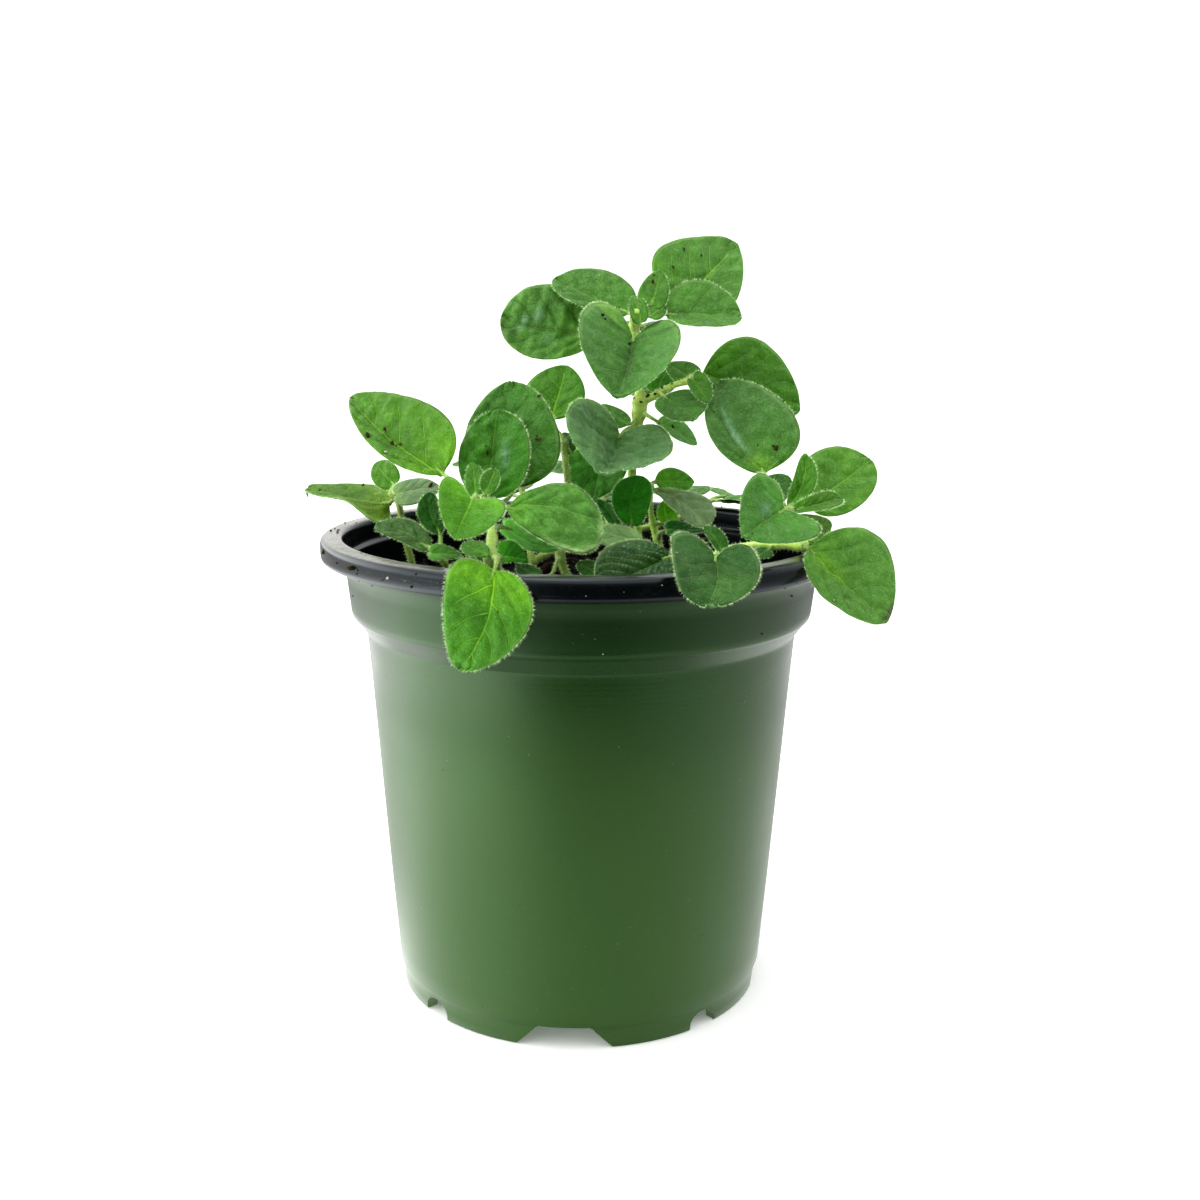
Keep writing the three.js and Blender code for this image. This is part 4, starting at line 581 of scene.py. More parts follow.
def spikes(roots, dirs, lengths, width, rng, bend=0.0):
    """Thin closed four-faced hairs."""
    roots, dirs = np.asarray(roots, float), np.asarray(dirs, float)
    dirs = dirs / np.linalg.norm(dirs, axis=1)[:, None]
    n = len(roots)
    ref = rng.normal(size=(n, 3))
    u = np.cross(dirs, ref)
    u /= np.linalg.norm(u, axis=1)[:, None]
    v = np.cross(dirs, u)
    th = np.array([0, 2 * np.pi / 3, 4 * np.pi / 3])
    base = roots[:, None, :] + (np.cos(th)[None, :, None] * u[:, None, :] + np.sin(th)[None, :, None] * v[:, None, :]) * (
        np.asarray(width).reshape(-1, 1, 1) / 2
    )
    tip = roots + dirs * np.asarray(lengths)[:, None]
    verts = np.concatenate([base, tip[:, None, :]], axis=1).reshape(-1, 3)
    k = np.arange(n) * 4
    faces = np.concatenate(
        [np.stack([k, k + 1, k + 3], 1), np.stack([k + 1, k + 2, k + 3], 1), np.stack([k + 2, k, k + 3], 1),
         np.stack([k, k + 2, k + 1], 1)]
    )
    return verts, faces


HAIRS = {"leaf": [], "stem": []}


def add_hairs(kind, roots, dirs, lengths, width, rng):
    if len(roots):
        HAIRS[kind].append(spikes(roots, dirs, lengths, width, rng))


def to_world(points, R, origin):
    return np.asarray(points) @ R.T + origin


def form_of(row):
    keys = ("length", "left", "right", "egg", "lobe", "arch", "point", "droop", "cup", "fold")
    return dict(zip(keys, row[8:18]))


def leaf_parts(build, row, small, look):
    """Adds one leaf, blade and stalk, to a build, and its hairs to the hair lists."""
    name = row[0]
    rng = np.random.default_rng(seed_of(name))
    f = form_of(row)
    f.update(look.get("form", {}))
    R = rotation(*row[5:8])
    origin = np.array(row[2:5], float)
    tone = dict(TONES[look.get("tone", row[20] if len(row) > 20 else "mid")])
    tone.update({k: v for k, v in look.items() if k in tone})
    light = look.get("light", 1.0)
    L, W = f["length"], (f["left"] + f["right"]) / 2
    nu = 26 if small else int(np.clip(L * 2.8, 34, 62))
    nv = 8 if small else int(np.clip(W * 2.0, 10, 19))
    s = np.linspace(0, 1, nu + 1)[1:-1]
    r = np.linspace(-1, 1, 2 * nv + 1)
    r = np.sign(r) * (0.72 * np.abs(r) + 0.28 * np.abs(r) ** 2)
    S, Rr = np.meshgrid(s, r, indexing="ij")
    x, y, z, ys, ye = blade_points(S, Rr, f)
    a = np.abs(Rr)
    t = x / L
    # side veins leave the midrib and arch towards the tip
    count = look.get("veins", 3 if not small else 2)
    gap_t = 0.78 / count
    shift = np.where(Rr >= 0, 0.0, look.get("stagger", 0.35) * gap_t)
    q = (t - 0.04 - shift) - look.get("sweep", 0.52) * a**1.25 * (1 - 0.4 * np.clip(t, 0, 1))
    phase = q / gap_t
    inside = smooth(a, 0.02, 0.18)
    gap_mm = gap_t * L * 0.82
    d_mm = np.abs((phase + 0.5) % 1.0 - 0.5) * gap_mm
    relief = look.get("relief", 1.0) * (0.55 if small else 1.0)
    ridge = gauss(d_mm, 0.45) * smooth(phase, -0.4, -0.1) * (1 - smooth(a, 0.6, 0.97)) * inside
    puff = (1 - np.abs(((phase + 0.5) % 1.0) - 0.5) * 2)
    puff = (1 - puff) * smooth(a, 0.0, 0.3) * (1 - smooth(a, 0.75, 1.0))
    ripple, ripple2 = wobble(rng), wobble(rng)
    wave = np.where(Rr >= 0, ripple(S), ripple2(S)) * a**3 * W * 0.035 * look.get("wave", 1.0)
    dent = wobble(rng, 6, 1.0, 2.6)(t * 0.8) * wobble(rng, 6, 0.6, 1.6)(y / (2 * W)) * W * look.get("dent", 0.10)
    big = np.clip(L / 16.0, 0.5, 1.25)
    z = z - relief * big * (0.12 * ridge + 0.26 * gauss(y, 0.7) * (1 - smooth(t, 0.5, 1.0))) + relief * big * 0.20 * puff + wave
    z = z + dent * (1 - a**4)
    lumps = sum(rng.uniform(0.5, 1.0) * np.sin(2 * np.pi * (x * math.cos(h) + y * math.sin(h)) / w + p)
                for h, w, p in zip(rng.uniform(0, 3.14, 7), rng.uniform(2.6, 6.5, 7), rng.uniform(0, 6.28, 7)))
    z = z + look.get("lumps", 1.0) * 0.075 * big * (0.4 if small else 1.0) * lumps * smooth(t, 0.0, 0.2) * (1 - 0.6 * a**6)
    for extra in look.get("bends", ()):
        z = z + extra(t, y / W, S, Rr) * W
    mid_pts = np.stack([x, ys, z], -1)
    base_z = 0.0
    tip_x, tip_y, tip_z, tip_ys, _ = blade_points(np.array([1.0]), np.array([0.0]), f)
    tip = np.array([tip_x[0], tip_ys[0], tip_z[0]])
    # normals of the middle surface
    du = np.gradient(mid_pts, axis=0)
    dv = np.gradient(mid_pts, axis=1)
    nrm = np.cross(du, dv)
    nrm /= np.maximum(np.linalg.norm(nrm, axis=-1), 1e-9)[..., None]
    nrm = np.where(nrm[..., 2:3] < -0.5, -nrm, nrm)
    thick = look.get("thick", 0.30 if not small else 0.24)
    half = 0.5 * thick * (1 - a**5) + 0.0
    rib = (0.42 if not small else 0.2) * gauss(y, 0.42) * np.clip(1 - t, 0, 1) ** 0.8
    top = mid_pts + nrm * half[..., None]
    bottom = mid_pts - nrm * (half + rib + 0.10 * relief * ridge)[..., None]
    # edge points shared by both sheets
    n_r, n_c = top.shape[:2]
    verts, ids_top, ids_bot = [], np.zeros((n_r, n_c), int), np.zeros((n_r, n_c), int)
    k = 0
    for i in range(n_r):
        for j in range(n_c):
            verts.append(top[i, j] if 0 < j < n_c - 1 else mid_pts[i, j])
            ids_top[i, j] = k
            k += 1
    for i in range(n_r):
        for j in range(n_c):
            if j in (0, n_c - 1):
                ids_bot[i, j] = ids_top[i, j]
            else:
                verts.append(bottom[i, j])
                ids_bot[i, j] = k
                k += 1
    base_id, tip_id = k, k + 1
    verts.append(np.array([0.0, 0.0, base_z]))
    verts.append(tip)
    faces = []
    for i in range(n_r - 1):
        for j in range(n_c - 1):
            faces.append((ids_top[i, j], ids_top[i + 1, j], ids_top[i + 1, j + 1], ids_top[i, j + 1]))
            faces.append((ids_bot[i, j], ids_bot[i, j + 1], ids_bot[i + 1, j + 1], ids_bot[i + 1, j]))
    for j in range(n_c - 1):
        faces.append((base_id, ids_top[0, j], ids_top[0, j + 1]))
        faces.append((base_id, ids_bot[0, j + 1], ids_bot[0, j]))
        faces.append((tip_id, ids_top[-1, j + 1], ids_top[-1, j]))
        faces.append((tip_id, ids_bot[-1, j], ids_bot[-1, j + 1]))

    # values on the points
    nt = n_r * n_c
    order = np.zeros((k + 2, 2), int)
    for i in range(n_r):
        for j in range(n_c):
            order[ids_top[i, j]] = (i, j)
            order[ids_bot[i, j]] = (i, j)
    oi, oj = order[:, 0], order[:, 1]
    under = np.zeros(k + 2)
    under[nt:k] = 1.0
    val = lambda g, b, tp: np.concatenate([g[oi[:k], oj[:k]], [b, tp]])
    v_t, v_y, v_a = val(t, 0.0, 1.0), val(y, 0.0, 0.0), val(a, 0.3, 1.0)
    v_phase, v_r = val(phase, -0.5, 4.4), val(Rr, 0.0, 0.0)
    body, basec = np.array(tone["body"]), np.array(tone["base"])
    # towards the base the leaf turns yellow-green: partly its own colour, partly painted light for light coming through
    # the blade
    glow = (1 - smooth(v_t, 0.0, look.get("glow", 0.45)))[:, None]
    tint = mix(body, basec, glow * look.get("glow_mix", 0.8))
    patch = wobble(rng, 4, 0.6, 1.8)(v_t * 0.9)[:, None] * wobble(rng, 4, 0.5, 1.5)(v_y / (2 * W))[:, None]
    # the per-leaf factor carries the leaf's own hue and painted light
    tint = tint * (1 + 0.16 * patch) * light * np.array(HUE_AND_LIGHT.get(name, SHOOT_HUE_AND_LIGHT.get(row[1], (1, 1, 1)) if small else (1, 1, 1)))
    for colour, mask in look.get("paint", ()):
        m = np.clip(mask(v_t, v_y / W, v_r, under), 0, 1)[:, None]
        tint = tint * (1 - m) + np.array(colour) * m
    pts = to_world(np.array(verts), R, origin)
    build.add(pts, faces, 0, tint=tint, under=under, phase=v_phase, gap=gap_mm, lateral=v_y, across=v_a, along=v_t,
              pale=tone["pale"], bloom=tone["bloom"])

    # stalk, from inside the stem to under the blade's base
    node = np.array(row[18], float)
    gap = origin - node
    dist = np.linalg.norm(gap)
    xdir, zdir = R[:, 0], R[:, 2]
    end = origin + xdir * min(0.12 * L, 1.6) - zdir * 0.22
    p1 = node + gap * 0.35 + np.array([0, 0, 0.10 * dist])
    p2 = origin - xdir * 0.35 * dist
    u = np.linspace(0, 1, 12 if small else 18)[:, None]
    path = (1 - u) ** 3 * node + 3 * (1 - u) ** 2 * u * p1 + 3 * (1 - u) * u * u * p2 + u**3 * end
    r0, r1 = (0.42, 0.26) if small else (0.55, 0.34)
    sv, sf, place, sn, ring = tube(path, mix(r0, r1, u[:, 0]), 8)
    stalk = mix(np.array(STALK), mix(body, basec, 0.8), (0.35 * place**2)[:, None])
    build.add(sv, sf, 1, tint=stalk * (1 + 0.1 * rng.standard_normal((len(sv), 1))))

    # hairs: a fringe on the margin, a sparse felt on both faces, longer ones on the stalk
    world_n = nrm @ R.T
    world_mid = to_world(mid_pts.reshape(-1, 3), R, origin).reshape(mid_pts.shape)
    for j, sign in ((0, -1), (n_c - 1, 1)):
        rim = np.vstack([origin, world_mid[:, j], to_world(tip[None], R, origin)])
        seg = np.linalg.norm(np.diff(rim, axis=0), axis=1)
        total = seg.sum()
        m = int(total / (0.11 if not small else 0.13))
        d = np.sort(rng.uniform(0, total, m))
        cum = np.concatenate([[0], np.cumsum(seg)])
        idx = np.clip(np.searchsorted(cum, d) - 1, 0, len(seg) - 1)
        w = (d - cum[idx]) / seg[idx]
        root = rim[idx] * (1 - w)[:, None] + rim[idx + 1] * w[:, None]
        tang = (rim[idx + 1] - rim[idx]) / seg[idx][:, None]
        ni = np.clip(idx, 0, n_r - 1)
        nn = world_n[ni, j]
        out = np.cross(tang, nn) * (1 if sign < 0 else -1)
        inward = world_mid[ni, n_c // 2] - root
        flip = np.sign((out * inward).sum(1))
        out = -out * np.where(flip == 0, 1, flip)[:, None]
        direction = out + nn * rng.normal(0.1, 0.45, (m, 1)) + tang * rng.normal(0.25, 0.35, (m, 1))
        add_hairs("leaf", root - out * 0.03, direction, rng.uniform(0.34, 0.80, m) * (0.8 if small else 1.0), 0.052, rng)
    area = L * W * 1.5
    for side in (1, -1):
        m = int(area * (1.5 if side > 0 else 1.1))
        i = rng.integers(1, n_r - 1, m)
        j = rng.integers(1, n_c - 1, m)
        wi, wj = rng.uniform(0, 1, (m, 1)), rng.uniform(0, 1, (m, 1))
        P = top if side > 0 else bottom
        p = (P[i, j] * (1 - wi) + P[i - 1, j] * wi) * (1 - wj) + (P[i, j - 1] * (1 - wi) + P[i - 1, j - 1] * wi) * wj
        p = to_world(p, R, origin)
        nn = world_n[i, j] * side
        direction = nn + rng.normal(0, 0.35, (m, 3)) + xdir * 0.3
        add_hairs("leaf", p - nn * 0.02, direction, rng.uniform(0.14, 0.32, m), 0.034, rng)
    m = int(dist * 22)
    if m > 4:
        i = rng.integers(0, len(ring), m)
        direction = sn[i] + rng.normal(0, 0.35, (m, 3))
        add_hairs("stem", ring[i] - sn[i] * 0.03, direction, rng.uniform(0.25, 0.6, m), 0.045, rng)


# ------------------------------------------------------------------ what is special about single leaves
def bump_at(t0, y0, wt, wy, h):
    return lambda t, y, s, r: h * np.exp(-(((t - t0) / wt) ** 2) - ((y - y0) / wy) ** 2)


def spot(t0, y0, wt, wy, k=1.0):
    """A soft patch at t0 along and y0 (in half widths) across, on the upper face."""
    return lambda t, y, r, u: k * np.exp(-(((t - t0) / wt) ** 2) - ((y - y0) / wy) ** 2) * (1 - u)


def stripe(y0, wy, t0, t1, k=1.0):
    return lambda t, y, r, u: k * np.exp(-(((y - y0) / wy) ** 2)) * smooth(t, t0, t0 + 0.15) * (1 - smooth(t, t1, t1 + 0.2)) * (1 - u)


def arcs(count, sweep, place, wide, k=1.0):
    """Arched lines beside the side veins, place in vein gaps from a vein."""
    def mask(t, y, r, u):
        q = t - 0.04 - np.where(r >= 0, 0.0, 0.35 * 0.78 / count) - sweep * np.abs(r) ** 1.25 * (1 - 0.4 * np.clip(t, 0, 1))
        d = (q / (0.78 / count) - place + 0.5) % 1.0 - 0.5
        return k * np.exp(-((d / wide) ** 2)) * smooth(np.abs(r), 0.05, 0.25) * (1 - smooth(np.abs(r), 0.75, 1.0)) * (1 - u)
    return mask


# painted highlight: a pale bluish sheen laid on puffs, on ridges between veins and on one side of some leaves
PAINTED_SHEEN = (0.22, 0.40, 0.26)
LIME = (0.20, 0.44, 0.012)
# painted shade: dark green laid in creases, hollows and troughs beside veins, and a shadow line under a raised lobe
PAINTED_SHADE = (0.020, 0.075, 0.004)
PLUM = (0.085, 0.050, 0.035)

HUE_AND_LIGHT = {  # each leaf's colour factor against its tone: partly its own green, partly painted light that brightens leaves lying in shade
    "branch_leaf_front": (1.04, 1.35, 0.52), "branch_leaf_right": (1.46, 1.41, 0.35),
    "centre_leaf_arched": (0.14, 1.2, 0.14), "centre_leaf_left": (0.34, 1.08, 0.14),
    "centre_leaf_low": (5.52, 3.54, 6.0), "centre_leaf_right_lower": (3.53, 2.08, 3.77),
    "centre_leaf_right_upper": (2.14, 2.02, 1.48), "centre_leaf_upright": (0.75, 1.95, 0.21),
    "front_leaf_back": (1.34, 1.35, 0.91), "front_leaf_dark": (0.42, 0.85, 0.08),
    "front_leaf_far_left": (0.91, 0.9, 0.64), "front_leaf_hanging": (0.69, 0.88, 0.4),
    "front_leaf_long": (1.19, 1.13, 0.82), "front_leaf_low_left": (0.96, 1.1, 0.3),
    "front_leaf_right": (1.86, 1.52, 2.54), "front_leaf_shaded": (6.0, 5.98, 6.0),
    "front_leaf_small": (0.9, 1.61, 0.16), "front_leaf_upright": (0.61, 0.88, 0.08),
    "left_leaf_inner": (2.76, 1.73, 3.34), "left_leaf_outer": (1.06, 0.79, 1.95),
    "main_leaf_back_right": (1.15, 1.6, 0.14), "main_leaf_front": (1.46, 1.45, 1.66),
    "main_leaf_low_left": (1.98, 2.1, 1.93), "main_leaf_right": (3.39, 3.4, 2.9), "mid_leaf_tall": (0.8, 0.9, 0.52),
    "right_leaf_broad_low": (0.38, 0.49, 0.21), "right_leaf_folded_low": (0.95, 0.95, 0.1),
    "right_leaf_folded_upright": (0.97, 1.04, 0.38), "right_leaf_front": (0.93, 1.02, 1.04),
    "right_leaf_hanging": (1.54, 1.23, 1.95), "right_leaf_inner": (3.23, 1.93, 4.54),
    "right_leaf_outer": (1.58, 1.31, 1.33), "right_leaf_over_rim": (0.17, 0.36, 0.08),
    "right_leaf_tall": (0.95, 0.89, 1.38), "top_leaf_front": (1.04, 1.04, 1.35), "top_leaf_left": (0.96, 0.96, 0.75),
    "top_leaf_left_lower": (1.97, 1.53, 1.78), "top_leaf_right": (1.18, 1.1, 1.18),
    "top_leaf_right_upper": (1.48, 1.22, 1.95),
}
# the same for the young leaves of each shoot: their own green and painted light
SHOOT_HUE_AND_LIGHT = {"stem_main": (1.15, 1.06, 1.1), "stem_mid": (0.4, 0.6, 0.4), "stem_left": (1.18, 1.1, 0.4),
              "stem_front": (0.88, 1.0, 0.2), "stem_right": (0.45, 0.65, 0.4), "stem_centre": (4.0, 3.8, 0.8),
              "stem_back": (0.5, 0.5, 0.5)}

# per-leaf marks: the pale bluish ones are painted highlights, the deep green ones painted shade
LOOKS = {
    "top_leaf_front": dict(form=dict(point=-0.05), tone="mid", bloom=0.5, lumps=1.5, paint=[
        (LIME, lambda t, y, r, u: 0.45 * smooth(0.16 - t, 0.0, 0.2) * smooth(-y, 0.15, 0.5) * (1 - u)),
        (PAINTED_SHADE, stripe(0.0, 0.06, 0.0, 0.55, 0.85)), (PAINTED_SHADE, lambda t, y, r, u: 0.7 * gauss(t - 0.02 - 0.10 * np.abs(y), 0.03) * (1 - u))]),
    "top_leaf_left": dict(tone="mid", bloom=0.5, lumps=1.3),
    "top_leaf_left_lower": dict(form=dict(point=-0.1), lumps=2.4, relief=1.6, paint=[
        (PAINTED_SHEEN, spot(0.62, -0.30, 0.05, 0.16, 0.5)), (PAINTED_SHEEN, spot(0.76, -0.12, 0.035, 0.14, 0.55)), (PAINTED_SHEEN, spot(0.80, 0.10, 0.04, 0.08, 0.4)), (PAINTED_SHEEN, spot(0.50, 0.30, 0.03, 0.12, 0.3)),
        (PAINTED_SHADE, spot(0.70, -0.22, 0.05, 0.14, 0.7)), (PAINTED_SHADE, spot(0.86, 0.25, 0.06, 0.2, 0.6)), (PAINTED_SHADE, stripe(0.0, 0.05, 0.15, 0.7, 0.6)),
        (PLUM, spot(1.0, 0.3, 0.06, 0.2, 0.6))]),
    "top_leaf_right_upper": dict(form=dict(point=-0.1), pale=0.8, paint=[(LIME, stripe(0.0, 0.06, 0.05, 0.5, 0.22))]),
    "top_leaf_right": dict(bloom=0.5, lumps=1.3, paint=[(PAINTED_SHADE, spot(0.15, -0.1, 0.12, 0.25, 0.6))]),
    "main_leaf_front": dict(form=dict(point=-0.1), lumps=2.0, relief=1.5, veins=3),
    "right_leaf_tall": dict(bloom=0.35, lumps=1.4, paint=[
        (PAINTED_SHEEN, spot(0.40, -0.08, 0.15, 0.07, 0.75)), (PAINTED_SHEEN, spot(0.66, -0.05, 0.12, 0.04, 0.4)), (PAINTED_SHADE, stripe(0.02, 0.045, 0.02, 0.7, 0.7)),
        (LIME, spot(0.06, -0.1, 0.10, 0.3, 0.45))]),
    "branch_leaf_right": dict(bloom=0.1, lumps=1.4, paint=[(PAINTED_SHEEN, lambda t, y, r, u: 0.35 * smooth(-y, 0.0, 0.3) * (1 - u))]),
    "mid_leaf_tall": dict(pale=0.8),
    "front_leaf_upright": dict(tone="mid", bloom=0.08, lumps=2.0, relief=1.5, pale=0.5, paint=[
        (PAINTED_SHEEN, spot(0.45, -0.40, 0.16, 0.10, 0.5)), (PAINTED_SHADE, stripe(-0.05, 0.12, 0.15, 0.6, 0.5))]),
    "front_leaf_back": dict(bloom=0.4, lumps=1.3, relief=1.4),
    "front_leaf_far_left": dict(veins=3, pale=0.9, sweep=0.5, relief=1.6, lumps=1.4, bloom=0.1, paint=[
        (PAINTED_SHADE, spot(0.16, -0.28, 0.10, 0.16, 0.35)), (PAINTED_SHADE, spot(0.42, -0.42, 0.12, 0.14, 0.25)), (PLUM, spot(0.98, 0.4, 0.05, 0.3, 0.4))]),
    "front_leaf_hanging": dict(form=dict(point=0.0), veins=3, pale=1.0, sweep=0.55, relief=2.0, lumps=1.4, bloom=0.05, paint=[
        (LIME, lambda t, y, r, u: 0.35 * smooth(0.45 - t, 0.0, 0.35) * (1 - u)), (PAINTED_SHADE, spot(0.62, 0.45, 0.22, 0.25, 0.25)), (PAINTED_SHADE, spot(0.45, -0.25, 0.12, 0.15, 0.2))]),
    "front_leaf_low_left": dict(form=dict(point=0.0), pale=0.5, bloom=0.1, lumps=1.5, relief=1.4, veins=3),
    "front_leaf_right": dict(tone="mid", bloom=0.3, lumps=1.6, relief=1.3, pale=0.2, paint=[
        ((0.34, 0.52, 0.20), lambda t, y, r, u: 0.9 * smooth(-r + 0.25 * (t - 0.7), 0.80, 0.90) * smooth(t, 0.25, 0.5)),
        ((0.34, 0.52, 0.20), lambda t, y, r, u: 0.8 * smooth(t, 0.90, 0.97))]),
    "left_leaf_outer": dict(form=dict(point=-0.6), tone="young", bloom=0.05, pale=0.3, lumps=0.8, veins=3,
                            bends=[lambda t, y, s, r: 0.38 * np.clip(t, 0, 1) ** 2
                                   + smooth(r, 0.0, 1.0) * (0.12 * gauss(t - 0.5, 0.2) - 0.62 * (1 - smooth(t, 0.0, 0.38)))],
                            paint=[((0.30, 0.50, 0.16), lambda t, y, r, u: 0.7 * smooth(r, 0.78, 0.95)),
                                   ((0.12, 0.20, 0.004), lambda t, y, r, u: 0.6 * gauss(y - 0.35, 0.3) * smooth(0.7 - t, 0.0, 0.3))]),
    "left_leaf_inner": dict(),
    "front_leaf_dark": dict(bloom=0.1),
    "right_leaf_over_rim": dict(form=dict(point=-0.35), tone="mid", bloom=0.04, lumps=1.0, relief=1.3, paint=[
        (PAINTED_SHADE, spot(0.30, 0.0, 0.22, 0.45, 0.5)), ((0.06, 0.19, 0.02), spot(0.62, 0.2, 0.28, 0.7, 0.5)), ((0.06, 0.17, 0.02), spot(0.30, -0.75, 0.22, 0.2, 0.35))]),
    "right_leaf_front": dict(bloom=0.35, lumps=1.8, paint=[(PAINTED_SHEEN, spot(0.30, -0.25, 0.12, 0.12, 0.6)), (PAINTED_SHADE, stripe(0.0, 0.05, 0.05, 0.5, 0.5))]),
    "right_leaf_outer": dict(bloom=0.15, pale=0.45, lumps=1.4),
    "right_leaf_hanging": dict(bloom=0.2, lumps=1.3, relief=1.6, pale=0.35, paint=[
        (LIME, stripe(0.0, 0.14, 0.02, 0.35, 0.45)), (PLUM, spot(0.97, 0.25, 0.04, 0.3, 0.8))]),
    "right_leaf_broad_low": dict(veins=5, sweep=0.75, relief=3.4, lumps=0.5, pale=0.35, bloom=0.18, tone="dark", paint=[
        (PAINTED_SHADE, arcs(5, 0.75, 0.0, 0.18, 0.95)), (PAINTED_SHEEN, arcs(5, 0.75, 0.25, 0.10, 0.55))]),
    "centre_leaf_right_lower": dict(bloom=0.9, lumps=2.0, relief=1.6),
    "centre_leaf_low": dict(bloom=0.9, lumps=1.2),
    "centre_leaf_upright": dict(bloom=0.05),
    "centre_leaf_right_upper": dict(bloom=0.1),
}


# ------------------------------------------------------------------ stems
def catmull(points, step):
    """Centripetal Catmull-Rom curve through the points."""
    p = [np.array(q, float) for q in points]
    p = [2 * p[0] - p[1]] + p + [2 * p[-1] - p[-2]]
    out = []
    for i in range(1, len(p) - 2):
        a, b, c, d = p[i - 1 : i + 3]
        t0 = max(np.linalg.norm(b - a) ** 0.5, 1e-4)
        t1 = max(np.linalg.norm(c - b) ** 0.5, 1e-4)
        t2 = max(np.linalg.norm(d - c) ** 0.5, 1e-4)
        m1 = ((b - a) / t0 - (c - a) / (t0 + t1) + (c - b) / t1) * t1
        m2 = ((c - b) / t1 - (d - b) / (t1 + t2) + (d - c) / t2) * t1
        n = max(2, int(np.linalg.norm(c - b) / step))
        for k in range(n):
            t = k / n
            out.append(b + m1 * t + (-3 * b + 3 * c - 2 * m1 - m2) * t * t + (2 * b - 2 * c + m1 + m2) * t**3)
    out.append(p[-2])
    return np.array(out)


STEM_GREEN = np.array((0.34, 0.50, 0.11))
STEM_BROWN = np.array((0.15, 0.15, 0.03))


STEM_LIGHT = {"stem_main": 1.4, "stem_right": 2.0, "stem_centre": 1.5, "stem_mid": 0.8, "stem_left": 0.9}


def stem_parts(build, radius, points, nodes, rng, light):
    pts = [tuple(p) for p in points]
    if pts[0][2] < 92:
        pts = [(pts[0][0], pts[0][1], 85.5)] + pts
    path = catmull(pts, 0.7)
    n = len(path)
    u = np.linspace(0, 1, n)
    radii = radius * (0.92 - 0.20 * u)
    for node in nodes:
        d = np.linalg.norm(path - node, axis=1)
        radii = radii + radius * 0.36 * gauss(d, 1.4)
    radii = radii * (1 + 0.03 * rng.standard_normal(n))
    radii[-1] *= 0.45
    radii[-2] *= 0.8
    verts, faces, place, normals, ring = tube(path, radii, 12, square=0.07, turn=rng.uniform(0, 1.5))
    near = np.zeros(len(verts))
    for node in nodes:
        near = np.maximum(near, gauss(np.linalg.norm(verts - node, axis=1), 1.6))
    tint = mix(STEM_GREEN, STEM_BROWN, (0.7 * near**0.8 * smooth(verts[:, 2], 118, 128))[:, None])
    low = smooth(verts[:, 2], 96, 87)[:, None]
    tint = tint * (1 - low) + np.array((0.10, 0.12, 0.04)) * low
    build.add(verts, faces, 1, tint=tint * light * (1 + 0.12 * rng.standard_normal((len(verts), 1))))
    length = np.linalg.norm(np.diff(path, axis=0), axis=1).sum()
    m = int(length * 34)
    i = rng.integers(0, len(ring), m)
    keep = ring[i][:, 2] > 89.5
    i = i[keep]
    direction = normals[i] + rng.normal(0, 0.3, (len(i), 3)) - np.array([0, 0, 0.25])
    add_hairs("stem", ring[i] - normals[i] * 0.04, direction, rng.uniform(0.3, 0.8, len(i)), 0.046, rng)


for row in LEAVES:
    b = Build()
    leaf_parts(b, row, False, LOOKS.get(row[0], {}))
    leaf = b.make("leaf." + row[0], [LEAF, STEM])
    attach(leaf, ROOT)
    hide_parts(row[0])

for name in dict.fromkeys(row[0] for row in STEMS):
    rng = np.random.default_rng(seed_of(name))
    b = Build()
    joints = [np.array(r[18], float) for r in LEAVES + BUDS if r[1] == name]
    for _, radius, points in [r for r in STEMS if r[0] == name]:
        stem_parts(b, radius, points, joints, rng, STEM_LIGHT.get(name, 1.0))
    for row in [r for r in BUDS if r[1] == name]:
        leaf_parts(b, row, True, LOOKS.get(row[0], {}))
    shoot = b.make("shoot." + name, [LEAF, STEM])
    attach(shoot, ROOT)
    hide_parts(name)


def hair_object(name, chunks, material):
    verts, faces, k = [], [], 0
    for v, f in chunks:
        verts.append(v)
        faces.append(f + k)
        k += len(v)
    v, f = np.vstack(verts), np.vstack(faces)
    me = bpy.data.meshes.new(name)
    me.vertices.add(len(v))
    me.vertices.foreach_set("co", (v * MM).astype(np.float32).ravel())
    me.loops.add(f.size)
    me.loops.foreach_set("vertex_index", f.astype(np.int32).ravel())
    me.polygons.add(len(f))
    me.polygons.foreach_set("loop_start", np.arange(0, f.size, 3, dtype=np.int32))
    me.materials.append(material)
    me.update(calc_edges=True)
    me.validate()
    ob = bpy.data.objects.new(name, me)
    bpy.context.scene.collection.objects.link(ob)
    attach(ob, ROOT)
    return ob


total = sum(len(f) for _, f in HAIRS["leaf"])
halves, run, part = [], 0, []
for chunk in HAIRS["leaf"]:
    part.append(chunk)
    run += len(chunk[1])
    if run > 150000:
        halves.append(part)
        part, run = [], 0
if part:
    halves.append(part)
for i, part in enumerate(halves):
    hair_object(f"leaf_hairs_{i + 1}", part, HAIR)
hair_object("stem_hairs", HAIRS["stem"], STEM_HAIR)
print("hair triangles", total, sum(len(f) for _, f in HAIRS["stem"]))

